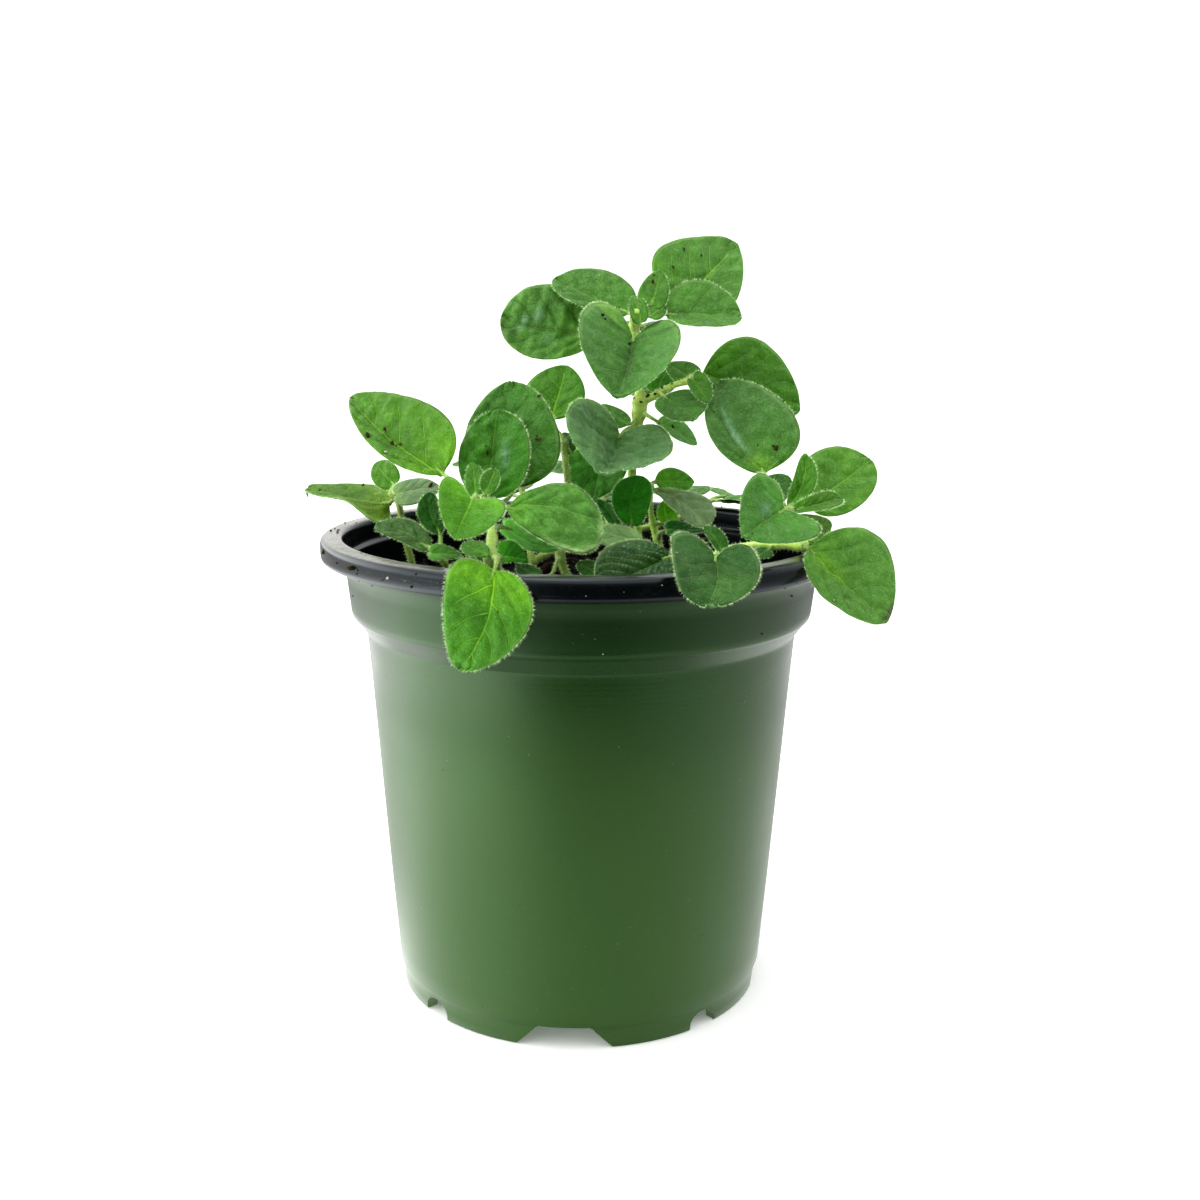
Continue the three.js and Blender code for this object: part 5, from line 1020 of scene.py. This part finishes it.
# ------------------------------------------------------------------ pot
BODY = [
    (40.55, 0.0), (40.7, 0.25), (40.72, 2.0), (40.82, 4.45), (40.95, 4.75), (41.38, 4.95), (41.5, 5.25),
    (43.2, 26.0), (45.0, 50.0), (46.4, 69.0), (47.25, 79.6), (47.4, 80.9), (47.47, 81.35), (47.6, 81.65),
    (47.85, 81.95), (48.1, 82.25), (49.75, 84.5), (49.98, 84.78), (50.3, 85.05), (50.52, 85.35), (50.64, 85.75), (50.71, 86.2),
]
BAND = [(50.71, 86.2), (51.0, 88.9), (51.4, 92.4), (51.68, 94.6)]
FLARE = [(51.68, 94.6), (52.1, 95.5), (52.7, 96.35), (53.5, 96.9), (55.7, 97.2)]
LIP = [
    (55.7, 97.2), (56.3, 97.3), (56.68, 97.5), (56.88, 97.85), (56.95, 98.3), (56.98, 99.2), (56.97, 100.4), (56.93, 100.85),
    (56.8, 101.25), (56.5, 101.6), (56.1, 101.8), (55.6, 101.9), (54.4, 101.97), (53.3, 102.0), (52.85, 101.97), (52.55, 101.85),
    (52.33, 101.6), (52.2, 101.25), (52.1, 100.8),
]
LIP_IN = [(52.1, 100.8), (51.95, 98.6), (51.88, 97.5)]
LEDGE = [(51.88, 97.5), (51.75, 97.15), (51.0, 96.65), (50.8, 96.35)]
INSIDE = [
    (50.8, 96.35), (50.75, 95.9), (50.2, 91.5), (49.25, 86.2), (49.0, 85.1), (48.4, 84.0), (47.3, 82.3),
    (46.8, 81.5), (46.55, 80.6), (46.3, 79.0), (44.8, 60.0), (42.6, 30.0), (40.7, 7.4), (40.2, 6.6), (39.4, 6.25),
    (0.0, 6.2),
]
UNDER = [(0.0, 5.0), (37.6, 5.0), (38.0, 4.7), (38.12, 0.25), (38.3, 0.0), (40.55, 0.0)]


def resample(profile, step):
    out = [profile[0]]
    for (r0, z0), (r1, z1) in zip(profile[:-1], profile[1:]):
        n = max(1, int(math.hypot(r1 - r0, z1 - z0) / step))
        for k in range(1, n + 1):
            out.append((r0 + (r1 - r0) * k / n, z0 + (z1 - z0) * k / n))
    return out


def lathe_mesh(name, rings, segments):
    """rings: list of (profile, material). The profiles run on from each other and close on the axis."""
    bm = bmesh.new()
    loops, mats = [], []
    for profile, mat in rings:
        for i, (r, z) in enumerate(profile):
            if loops and i == 0:
                continue
            if r < 1e-6:
                loops.append([bm.verts.new((0, 0, z * MM))])
            else:
                loops.append([bm.verts.new((r * math.cos(2 * math.pi * k / segments) * MM,
                                            r * math.sin(2 * math.pi * k / segments) * MM, z * MM)) for k in range(segments)])
            mats.append(mat)
    for i in range(len(loops) - 1):
        a, b = loops[i], loops[i + 1]
        for k in range(segments):
            j = (k + 1) % segments
            if len(a) == 1 and len(b) == 1:
                continue
            if len(a) == 1:
                f = bm.faces.new((a[0], b[j], b[k]))
            elif len(b) == 1:
                f = bm.faces.new((a[k], a[j], b[0]))
            else:
                f = bm.faces.new((a[k], a[j], b[j], b[k]))
            f.material_index = mats[i + 1]
            f.smooth = True
    me = bpy.data.meshes.new(name)
    bm.to_mesh(me)
    bm.free()
    return me


def prism(outline, depth, place):
    """A closed prism of an outline in the XZ plane, from y = 0 to depth, placed by a matrix."""
    bm = bmesh.new()
    front = [bm.verts.new((x * MM, 0, z * MM)) for x, z in outline]
    back = [bm.verts.new((x * MM, depth * MM, z * MM)) for x, z in outline]
    bm.faces.new(front)
    bm.faces.new(back[::-1])
    for i in range(len(outline)):
        j = (i + 1) % len(outline)
        bm.faces.new((front[i], back[i], back[j], front[j]))
    bmesh.ops.recalc_face_normals(bm, faces=bm.faces)
    bm.transform(place)
    return bm


def build_pot():
    segments = 224
    rings = [(resample(UNDER, 6.0), 0), (resample(BODY, 4.0), 0), (resample(BAND, 2.0), 0), (resample(FLARE, 2.0), 0),
             (resample(LIP, 4.0), 1), (resample(LIP_IN, 4.0), 2),
             (resample(LEDGE, 4.0), 1), (resample(INSIDE, 4.0), 2)]
    me = lathe_mesh("pot_body", rings, segments)
    pot = bpy.data.objects.new("pot", me)
    bpy.context.scene.collection.objects.link(pot)
    me.materials.append(POT_GREEN)
    me.materials.append(POT_BLACK)
    me.materials.append(POT_INSIDE)
    cut = bmesh.new()

    def join(bm):
        tmp = bpy.data.meshes.new("tmp")
        bm.to_mesh(tmp)
        cut.from_mesh(tmp)
        bm.free()
        bpy.data.meshes.remove(tmp)

    wide, top, high = 10.25, 5.5, 4.6
    big = [(-wide - 0.3, -1), (wide + 0.3, -1), (wide - 0.35, 0.15), (top + 1.0, high - 1.0), (top + 0.5, high - 0.35),
           (top - 0.2, high), (-top + 0.2, high), (-top - 0.5, high - 0.35), (-top - 1.0, high - 1.0), (-wide + 0.35, 0.15)]
    small = [(-3.7, -1), (3.7, -1)] + [(3.7 * math.cos(t) , 0.9 + 2.7 * math.sin(t)) for t in np.linspace(0, math.pi, 13)]
    for i in range(4):
        for outline, turn in ((big, -3.8 + 90 * i), (small, 41.2 + 90 * i)):
            place = Matrix.Rotation(math.radians(turn), 4, "Z") @ Matrix.Translation((0, -44 * MM, 0))
            join(prism(outline, 10, place))
    centres = [(0, 0)] + [(27 * math.cos(math.radians(-3.8 + 90 * i - 90)), 27 * math.sin(math.radians(-3.8 + 90 * i - 90)))
                          for i in range(4)]
    for x, y in centres:
        hole = [(4.5 * math.cos(t), 4.5 * math.sin(t)) for t in np.linspace(0, 2 * math.pi, 33)[:-1]]
        join(prism(hole, 4, Matrix.Translation((x * MM, y * MM, 4 * MM)) @ Matrix.Rotation(math.pi / 2, 4, "X")))
    cutter_mesh = bpy.data.meshes.new("cutter")
    cut.to_mesh(cutter_mesh)
    cut.free()
    cutter = bpy.data.objects.new("cutter", cutter_mesh)
    bpy.context.scene.collection.objects.link(cutter)
    mod = pot.modifiers.new("notches", "BOOLEAN")
    mod.operation = "DIFFERENCE"
    mod.solver = "EXACT"
    mod.object = cutter
    bpy.context.view_layer.update()
    dg = bpy.context.evaluated_depsgraph_get()
    done = bpy.data.meshes.new_from_object(pot.evaluated_get(dg))
    pot.modifiers.clear()
    pot.data = done
    bpy.data.objects.remove(cutter)
    bm = bmesh.new()
    bm.from_mesh(done)
    bmesh.ops.remove_doubles(bm, verts=bm.verts, dist=1e-6)
    for e in bm.edges:
        e.smooth = len(e.link_faces) == 2 and e.calc_face_angle(0) < math.radians(32)
    for face in bm.faces:
        face.smooth = True
    bm.to_mesh(done)
    bm.free()
    return pot


pot = build_pot()
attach(pot, ROOT)
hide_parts("nursery_pot")


# ------------------------------------------------------------------ growing mix
def soil_height(x, y):
    return (88.6 + 0.55 * np.sin(0.21 * x + 1.3) * np.cos(0.17 * y)
            + 5.2 * np.exp(-((x - 31) ** 2 + (y - 36) ** 2) / (2 * 10.5**2)))


def inner_radius(z):
    prof = [(40.5, 6.2), (46.35, 79.8), (46.65, 81.4), (49.05, 85.0), (51.1, 96.5)]
    return np.interp(z, [p[1] for p in prof], [p[0] for p in prof])


def rock(rng, size, flat, long):
    """A rough closed chip: a jittered, squashed ball."""
    v, f = ICO
    p = v * (1 + rng.uniform(-0.28, 0.28, (len(v), 1)))
    p = p * np.array([long, 1.0, flat])
    q = rng.normal(size=4)
    q /= np.linalg.norm(q)
    w, x, y, z = q
    rot = np.array([[1 - 2 * (y * y + z * z), 2 * (x * y - z * w), 2 * (x * z + y * w)],
                    [2 * (x * y + z * w), 1 - 2 * (x * x + z * z), 2 * (y * z - x * w)],
                    [2 * (x * z - y * w), 2 * (y * z + x * w), 1 - 2 * (x * x + y * y)]])
    return (p @ rot.T) * size, f


def icosphere(level):
    bm = bmesh.new()
    bmesh.ops.create_icosphere(bm, subdivisions=level, radius=1.0)
    v = np.array([x.co[:] for x in bm.verts])
    f = [tuple(x.index for x in face.verts) for face in bm.faces]
    bm.free()
    return v, f


ICO = icosphere(2)
ICO1 = icosphere(1)


def build_soil():
    rng = np.random.default_rng(77)
    b = Build()
    segs, rings = 150, 46
    th = 2 * np.pi * np.arange(segs) / segs
    waves = [(rng.uniform(0.15, 1.6, 2) * rng.choice([-1, 1], 2), rng.uniform(0, 6.28), rng.uniform(0.04, 0.22)) for _ in range(26)]

    def bumpy(x, y):
        z = soil_height(x, y)
        for (kx, ky), p, amp in waves:
            z = z + amp * np.sin(kx * x + ky * y + p)
        return z

    verts, index = [], []
    for k in range(1, rings + 1):
        fr = k / rings
        x0, y0 = 48.5 * fr * np.cos(th), 48.5 * fr * np.sin(th)
        z0 = bumpy(x0, y0)
        rr = fr * (inner_radius(z0) - 0.08)
        index.append(np.arange(segs) + len(verts))
        for i in range(segs):
            verts.append((rr[i] * math.cos(th[i]), rr[i] * math.sin(th[i]), z0[i] + rng.normal(0, 0.16)))
    for r, z in ((inner_radius(84.9) - 0.1, 84.9), (inner_radius(81.4) - 0.1, 81.4), (inner_radius(79.0) - 0.1, 79.0),
                 (inner_radius(30.0) - 0.1, 30.0), (inner_radius(6.8) - 0.3, 6.7)):
        index.append(np.arange(segs) + len(verts))
        for i in range(segs):
            verts.append((r * math.cos(th[i]), r * math.sin(th[i]), z))
    top = len(verts)
    verts.append((0, 0, float(bumpy(np.array(0.0), np.array(0.0)))))
    bottom = len(verts)
    verts.append((0, 0, 6.7))
    faces = []
    for i in range(segs):
        j = (i + 1) % segs
        faces.append((top, index[0][i], index[0][j]))
        faces.append((bottom, index[-1][j], index[-1][i]))
        for a, c in zip(index[:-1], index[1:]):
            faces.append((a[i], c[i], c[j], a[j]))
    n = len(verts)
    tint = np.tile(np.array((0.0028, 0.0020, 0.0015)), (n, 1)) * rng.uniform(0.6, 1.5, (n, 1))
    b.add(verts, faces, 0, tint=tint)
    palette = [((0.004, 0.003, 0.002), 0.56), ((0.009, 0.005, 0.003), 0.25), ((0.024, 0.013, 0.007), 0.10),
               ((0.085, 0.048, 0.024), 0.05), ((0.26, 0.18, 0.11), 0.028), ((0.52, 0.44, 0.34), 0.012)]
    cols = np.array([c for c, _ in palette])
    odds = np.array([o for _, o in palette])
    odds = odds / odds.sum()

    def place(x, y, size, flat, long, colour, lift=0.25):
        v, f = rock(rng, size, flat, long)
        z = float(bumpy(np.array(x), np.array(y)))
        lim = float(inner_radius(z + size)) - 0.3
        v = v + np.array([x, y, z + size * lift])
        rad = np.hypot(v[:, 0], v[:, 1])
        over = np.maximum(rad / lim, 1.0)
        v[:, 0] /= over
        v[:, 1] /= over
        b.add(v, f, 0, tint=np.tile(colour, (len(v), 1)) * rng.uniform(0.75, 1.25, (len(v), 1)))

    for _ in range(620):
        rad, ang = 48.5 * math.sqrt(rng.uniform(0, 1)), rng.uniform(0, 2 * math.pi)
        size = rng.choice([0.55, 0.8, 1.15, 1.6], p=[0.4, 0.33, 0.19, 0.08]) * rng.uniform(0.75, 1.2)
        place(rad * math.cos(ang), rad * math.sin(ang), size, rng.uniform(0.35, 0.8), rng.uniform(1.0, 2.2),
              cols[rng.choice(len(cols), p=odds)])
    # light chips seen between the leaves
    for x, y, size, flat, long, colour in [
        (-31.0, 3.0, 1.3, 0.7, 1.3, (0.50, 0.30, 0.20)), (11.0, 22.0, 1.2, 0.4, 2.4, (0.34, 0.22, 0.12)),
        (12.5, 17.0, 1.1, 0.35, 2.6, (0.30, 0.19, 0.10)), (9.5, 26.0, 0.9, 0.5, 2.0, (0.36, 0.25, 0.15)),
        (30.0, 33.0, 1.3, 0.5, 1.8, (0.16, 0.085, 0.045)), (34.0, 30.0, 1.1, 0.5, 1.6, (0.13, 0.07, 0.04)),
        (-9.0, -38.0, 1.2, 0.5, 1.7, (0.20, 0.11, 0.055)), (-4.0, -41.0, 0.9, 0.6, 1.5, (0.26, 0.16, 0.09)),
    ]:
        place(x, y, size, flat, long, np.array(colour), 0.5)
    # fibres
    for _ in range(70):
        rad, ang = 46 * math.sqrt(rng.uniform(0, 1)), rng.uniform(0, 2 * math.pi)
        x, y = rad * math.cos(ang), rad * math.sin(ang)
        d = rng.uniform(0, 2 * math.pi)
        ln = rng.uniform(2.0, 6.0)
        u = np.linspace(-0.5, 0.5, 7)
        side = rng.normal(0, 0.6)
        px = x + ln * u * math.cos(d) - side * (0.25 - u * u) * math.sin(d) * 3
        py = y + ln * u * math.sin(d) + side * (0.25 - u * u) * math.cos(d) * 3
        keep = 46.5 / np.maximum(np.hypot(px, py), 46.5)
        px, py = px * keep, py * keep
        pz = bumpy(px, py) + 0.35 + rng.uniform(0, 0.5) * (0.25 - u * u) * 4
        v, f, _, _, _ = tube(np.stack([px, py, pz], 1), np.full(7, rng.uniform(0.10, 0.22)), 5)
        b.add(v, f, 0, tint=np.array((0.13, 0.085, 0.045)) * rng.uniform(0.4, 1.6))
    return b.make("soil", [SOIL])


soil = build_soil()
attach(soil, ROOT)
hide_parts("growing_mix")


# ------------------------------------------------------------------ crumbs of the mix on leaves and pot
BROWN, TAN, CHALK, BLACKISH = (0.055, 0.036, 0.012), (0.17, 0.135, 0.06), (0.50, 0.50, 0.42), (0.014, 0.012, 0.006)
MOSS, RUST = (0.020, 0.050, 0.008), (0.060, 0.040, 0.012)
CRUMBS = [  # direction from the viewpoint as picture place, size in mm, colour, how long
    (684, 249, 0.30, MOSS, 2.2), (673, 267, 0.28, RUST, 1.6), (701, 256, 0.20, RUST, 4.0), (653, 282, 0.34, RUST, 1.5),
    (654, 275, 0.22, RUST, 1.4), (602, 315, 0.38, BROWN, 2.2), (605, 319, 0.26, BLACKISH, 1.4), (629, 344, 0.38, MOSS, 1.3),
    (368, 436, 0.62, BROWN, 1.5), (385, 429, 0.38, BROWN, 1.4), (386, 427, 0.22, TAN, 1.3), (392, 444, 0.46, BROWN, 1.6), (401, 444, 0.40, TAN, 1.5),
    (396, 446, 0.24, BROWN, 1.2), (386, 452, 0.36, CHALK, 1.2), (487, 453, 0.30, BROWN, 1.8), (486, 446, 0.22, BROWN, 1.3),
    (539, 439, 0.42, TAN, 2.0), (537, 436, 0.26, BROWN, 1.3), (539, 396, 0.36, TAN, 1.6), (548, 409, 0.22, TAN, 1.3), (430, 486, 0.40, BROWN, 2.6),
    (363, 485, 0.34, BROWN, 1.5), (320, 490, 0.30, BROWN, 1.4), (758, 445, 0.22, BLACKISH, 1.2), (776, 448, 0.55, BROWN, 1.3), (773, 446, 0.24, BLACKISH, 1.1),
    (673, 427, 0.36, BROWN, 1.8), (659, 424, 0.30, BROWN, 1.3), (648, 396, 0.40, BROWN, 1.4), (655, 394, 0.36, BROWN, 1.8), (641, 402, 0.34, BLACKISH, 1.4),
    (634, 398, 0.30, BROWN, 1.4), (662, 388, 0.30, BLACKISH, 1.6), (672, 384, 0.24, BROWN, 1.4), (677, 553, 0.24, CHALK, 1.0), (770, 534, 0.20, CHALK, 1.0),
    (834, 600, 0.22, CHALK, 1.0), (752, 534, 0.20, BLACKISH, 1.2), (762, 634, 0.28, BLACKISH, 1.0), (352, 568, 0.60, BROWN, 1.6), (337, 563, 0.26, BLACKISH, 1.2),
    (331, 531, 0.26, BLACKISH, 1.4), (335, 529, 0.20, BLACKISH, 1.1), (345, 523, 0.24, BROWN, 1.5), (356, 523, 0.22, BROWN, 1.2), (416, 574, 0.30, BLACKISH, 1.2),
    (382, 580, 0.36, TAN, 1.5), (388, 578, 0.34, CHALK, 1.6), (405, 581, 0.28, TAN, 1.3), (411, 587, 0.38, BROWN, 1.4), (438, 583, 0.26, TAN, 1.2),
    (357, 574, 0.26, BLACKISH, 1.3), (359, 581, 0.20, BROWN, 1.2), (349, 587, 0.18, BLACKISH, 1.1), (353, 596, 0.18, BLACKISH, 1.2), (372, 586, 0.18, BROWN, 1.1),
    (620, 628, 0.20, BROWN, 1.1), (595, 639, 0.18, TAN, 1.1), (583, 634, 0.16, TAN, 1.3), (744, 702, 0.20, CHALK, 2.0), (573, 643, 0.22, TAN, 1.4),
    (603, 654, 0.18, CHALK, 1.2), (640, 611, 0.2, TAN, 1.6), (662, 585, 0.22, CHALK, 2.4), (586, 596, 0.16, CHALK, 1.6), (624, 592, 0.15, CHALK, 1.3),
    (470, 585, 0.20, TAN, 1.1), (700, 528, 0.5, BROWN, 1.4), (704, 541, 0.4, BROWN, 1.6), (498, 612, 0.16, BROWN, 1.1), (470, 610, 0.16, BROWN, 1.1),
    (792, 596, 0.30, TAN, 1.4), (797, 583, 0.22, TAN, 1.2), (785, 588, 0.20, BROWN, 1.2), (443, 770, 0.16, BLACKISH, 1.1), (690, 808, 0.15, BLACKISH, 1.1),
    (520, 905, 0.15, BLACKISH, 1.0), (640, 985, 0.15, TAN, 1.1), (560, 860, 0.14, BLACKISH, 1.0), (702, 935, 0.15, BLACKISH, 1.1), (482, 1007, 0.18, TAN, 1.2),
]


def build_crumbs():
    rng = np.random.default_rng(31)
    bpy.context.view_layer.update()
    dg = bpy.context.evaluated_depsgraph_get()
    from mathutils import Vector

    eye = camera.matrix_world.translation.copy()
    turn = camera.matrix_world.to_3x3()
    b = Build()
    for px, py, size, colour, long in CRUMBS:
        way = turn @ Vector(((px - 600) / 1400, (600 - py) / 1400, -1.0))
        way.normalize()
        start = eye.copy()
        for _ in range(6):
            hit, place, normal, _, ob, _ = bpy.context.scene.ray_cast(dg, start, way)
            if not hit or "hair" not in ob.name:
                break
            start = place + way * 1e-5
        if not hit:
            continue
        if normal.dot(way) > 0:
            normal = -normal
        size = size * (0.72 if ob.name == "pot" and py > 570 else 0.92)
        v, f = rock(rng, size, 0.6, long)
        up = normal.to_track_quat("Z", "Y").to_matrix()
        v = v @ np.array(up).T + np.array(place) / MM + np.array(normal) * size * 0.15
        b.add(v, f, 0, tint=np.tile(colour, (len(v), 1)) * rng.uniform(0.8, 1.2, (len(v), 1)))
    # a few more, round the rim
    for _ in range(60):
        ang, size = rng.uniform(0, 2 * math.pi), rng.uniform(0.14, 0.34)
        if -2.4 < ang - 2 * math.pi < -0.7 or rng.uniform() < 0.25:
            continue
        r, z = (rng.uniform(53.2, 56.0), 102.0) if rng.uniform() < 0.6 else (57.0, rng.uniform(98.2, 100.6))
        v, f = rock(rng, size, 0.6, rng.uniform(1.0, 2.2))
        v = v + np.array([r * math.cos(ang), r * math.sin(ang), z])
        colour = (BROWN, TAN, BLACKISH)[rng.integers(3)]
        b.add(v, f, 0, tint=np.tile(colour, (len(v), 1)))
    return b.make("crumbs", [SOIL])


crumbs = build_crumbs()
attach(crumbs, ROOT)


# ------------------------------------------------------------------ floor, light and surroundings
def floor_object():
    """A plain white sheet with a faint even glow of its own. Glossy rays see painted light on it instead: a glow
    brightest towards the window on the left, dim in front and on the side away from the light behind the object, which
    the pot shows in its gloss."""
    me = bpy.data.meshes.new("floor")
    s = 6.0
    me.from_pydata([(-s, -s, -0.0002), (s, -s, -0.0002), (s, s, -0.0002), (-s, s, -0.0002)], [], [(0, 1, 2, 3)])
    ob = bpy.data.objects.new("floor", me)
    bpy.context.scene.collection.objects.link(ob)
    n = Nodes("floor_paper")
    pos = n.object()
    grain = n.noise(pos, 900.0, 2.0)
    col = n.mix(grain, (0.92, 0.92, 0.92), (0.96, 0.96, 0.96))
    n.set(Base_Color=col, Roughness=0.85, Specular_IOR_Level=0.1, Emission_Color=(1, 1, 1, 1), Emission_Strength=0.14)
    flat = n.node("ShaderNodeVectorMath", operation="MULTIPLY")
    n.plug(flat.inputs[0], pos)
    flat.inputs[1].default_value = (1, 1, 0)
    way = n.node("ShaderNodeVectorMath", operation="NORMALIZE")
    n.plug(way.inputs[0], flat.outputs[0])
    xyz = n.node("ShaderNodeSeparateXYZ")
    n.plug(xyz.inputs[0], way.outputs[0])
    size = n.node("ShaderNodeVectorMath", operation="LENGTH")
    n.plug(size.inputs[0], flat.outputs[0])
    r, u, v = size.outputs["Value"], xyz.outputs[0], xyz.outputs[1]
    left = n.math("ADD", n.math("MULTIPLY", u, -0.95), n.math("MULTIPLY", v, 0.1))
    glow = n.ramp(left, -0.15, 0.85, 1.05, 3.25)
    glow = n.math("MULTIPLY", glow, n.math("ADD", 1.0, n.math("MULTIPLY", n.ramp(left, 0.0, 0.8), n.ramp(r, 0.06, 0.23, -0.32, 0.30))))
    glow = n.math("MULTIPLY", glow, n.ramp(v, -0.1, 0.7, 1.12, 0.48))
    far_right = n.math("ADD", n.ramp(u, 0.35, 1.0, 0.0, 0.30), n.math("MULTIPLY", n.ramp(v, -0.1, 0.8, 0.0, 0.7), n.ramp(u, 0.0, 0.3)))
    glow = n.math("ADD", glow, far_right)
    glow = n.math("MULTIPLY", glow, n.math("SUBTRACT", 1.0, n.math("MULTIPLY", n.ramp(u, 0.45, 0.8, 0.0, 0.08), n.ramp(r, 0.17, 0.30))))
    slant = n.node("ShaderNodeLayerWeight")
    slant.inputs["Blend"].default_value = 0.5
    glow = n.math("MULTIPLY", glow, n.ramp(slant.outputs["Facing"], 0.06, 0.30, 0.42, 1.0))
    reach = n.ramp(r, 0.20, 0.27, 0.45, 0.88)
    dark = n.math("MULTIPLY", n.ramp(u, -0.68, -0.14), n.ramp(n.math("SUBTRACT", u, reach), 0.12, -0.28))
    dark = n.math("MULTIPLY", dark, n.ramp(v, 0.0, -0.3))
    dark = n.math("MULTIPLY", dark, n.ramp(r, 0.163, 0.212))
    glow = n.math("MULTIPLY", glow, n.math("SUBTRACT", 1.0, n.math("MULTIPLY", dark, 0.95)))
    glow = n.math("MULTIPLY", glow, n.ramp(r, 0.26, 0.5, 1.0, 0.30))
    # painted reflection: this glow is what glossy rays see of the floor
    light = n.node("ShaderNodeEmission")
    n.plug(light.inputs["Strength"], glow)
    swap = n.node("ShaderNodeMixShader")
    n.plug(swap.inputs[0], n.node("ShaderNodeLightPath").outputs["Is Glossy Ray"])
    n.nt.links.new(n.bsdf.outputs[0], swap.inputs[1])
    n.nt.links.new(light.outputs[0], swap.inputs[2])
    n.nt.links.new(swap.outputs[0], n.out.inputs["Surface"])
    me.materials.append(n.mat)
    return ob


floor_object()


def area(name, place, target, size, watts, colour=(1, 1, 1)):
    data = bpy.data.lights.new(name, "AREA")
    data.shape = "RECTANGLE"
    data.size, data.size_y = size
    data.energy = watts
    data.color = colour
    ob = bpy.data.objects.new(name, data)
    bpy.context.scene.collection.objects.link(ob)
    from mathutils import Vector

    way = Vector(target) - Vector(place)
    ob.matrix_world = Matrix.Translation(place) @ way.to_track_quat("-Z", "Y").to_matrix().to_4x4()
    return ob


area("window_left", (-1.05, 0.32, 0.45), (0, 0, 0.09), (0.9, 0.9), 1.5)
area("soft_top", (-0.25, 0.05, 1.0), (0, 0, 0.1), (0.6, 0.6), 2.0)

world = bpy.data.worlds.new("studio")
bpy.context.scene.world = world
world.use_nodes = True
wt = world.node_tree
wt.nodes.clear()
w_out = wt.nodes.new("ShaderNodeOutputWorld")
w_bg = wt.nodes.new("ShaderNodeBackground")
w_coord = wt.nodes.new("ShaderNodeTexCoord")
w_sep = wt.nodes.new("ShaderNodeSeparateXYZ")
wt.links.new(w_coord.outputs["Generated"], w_sep.inputs[0])


def world_map(source, lo, hi, a, b):
    n = wt.nodes.new("ShaderNodeMapRange")
    n.interpolation_type = "SMOOTHSTEP"
    wt.links.new(source, n.inputs[0])
    for i, v in enumerate((lo, hi)):
        n.inputs[1 + i].default_value = v
    for i, v in enumerate((a, b)):
        if isinstance(v, bpy.types.NodeSocket):
            wt.links.new(v, n.inputs[3 + i])
        else:
            n.inputs[3 + i].default_value = v
    return n.outputs[0]


# a dim side behind the viewer, a white surround and a bright soft ceiling, fixed in the room
horizon = world_map(w_sep.outputs[1], -0.8, 0.4, 0.16, 1.08)
window = world_map(w_sep.outputs[0], -0.2, -0.97, horizon, 3.2)
sky = world_map(w_sep.outputs[2], 0.2, 0.85, window, 1.55)
seen = wt.nodes.new("ShaderNodeLightPath").outputs["Is Camera Ray"]
sky = world_map(seen, 0.0, 1.0, sky, 1.08)  # the same plain white surround from every side
w_bg.inputs["Color"].default_value = (1, 1, 1, 1)
wt.links.new(sky, w_bg.inputs["Strength"])
wt.links.new(w_bg.outputs[0], w_out.inputs["Surface"])

scene = bpy.context.scene
scene.view_settings.view_transform = "Standard"
scene.view_settings.look = "Medium High Contrast"
scene.view_settings.exposure = 0.0
scene.view_settings.gamma = 1.0
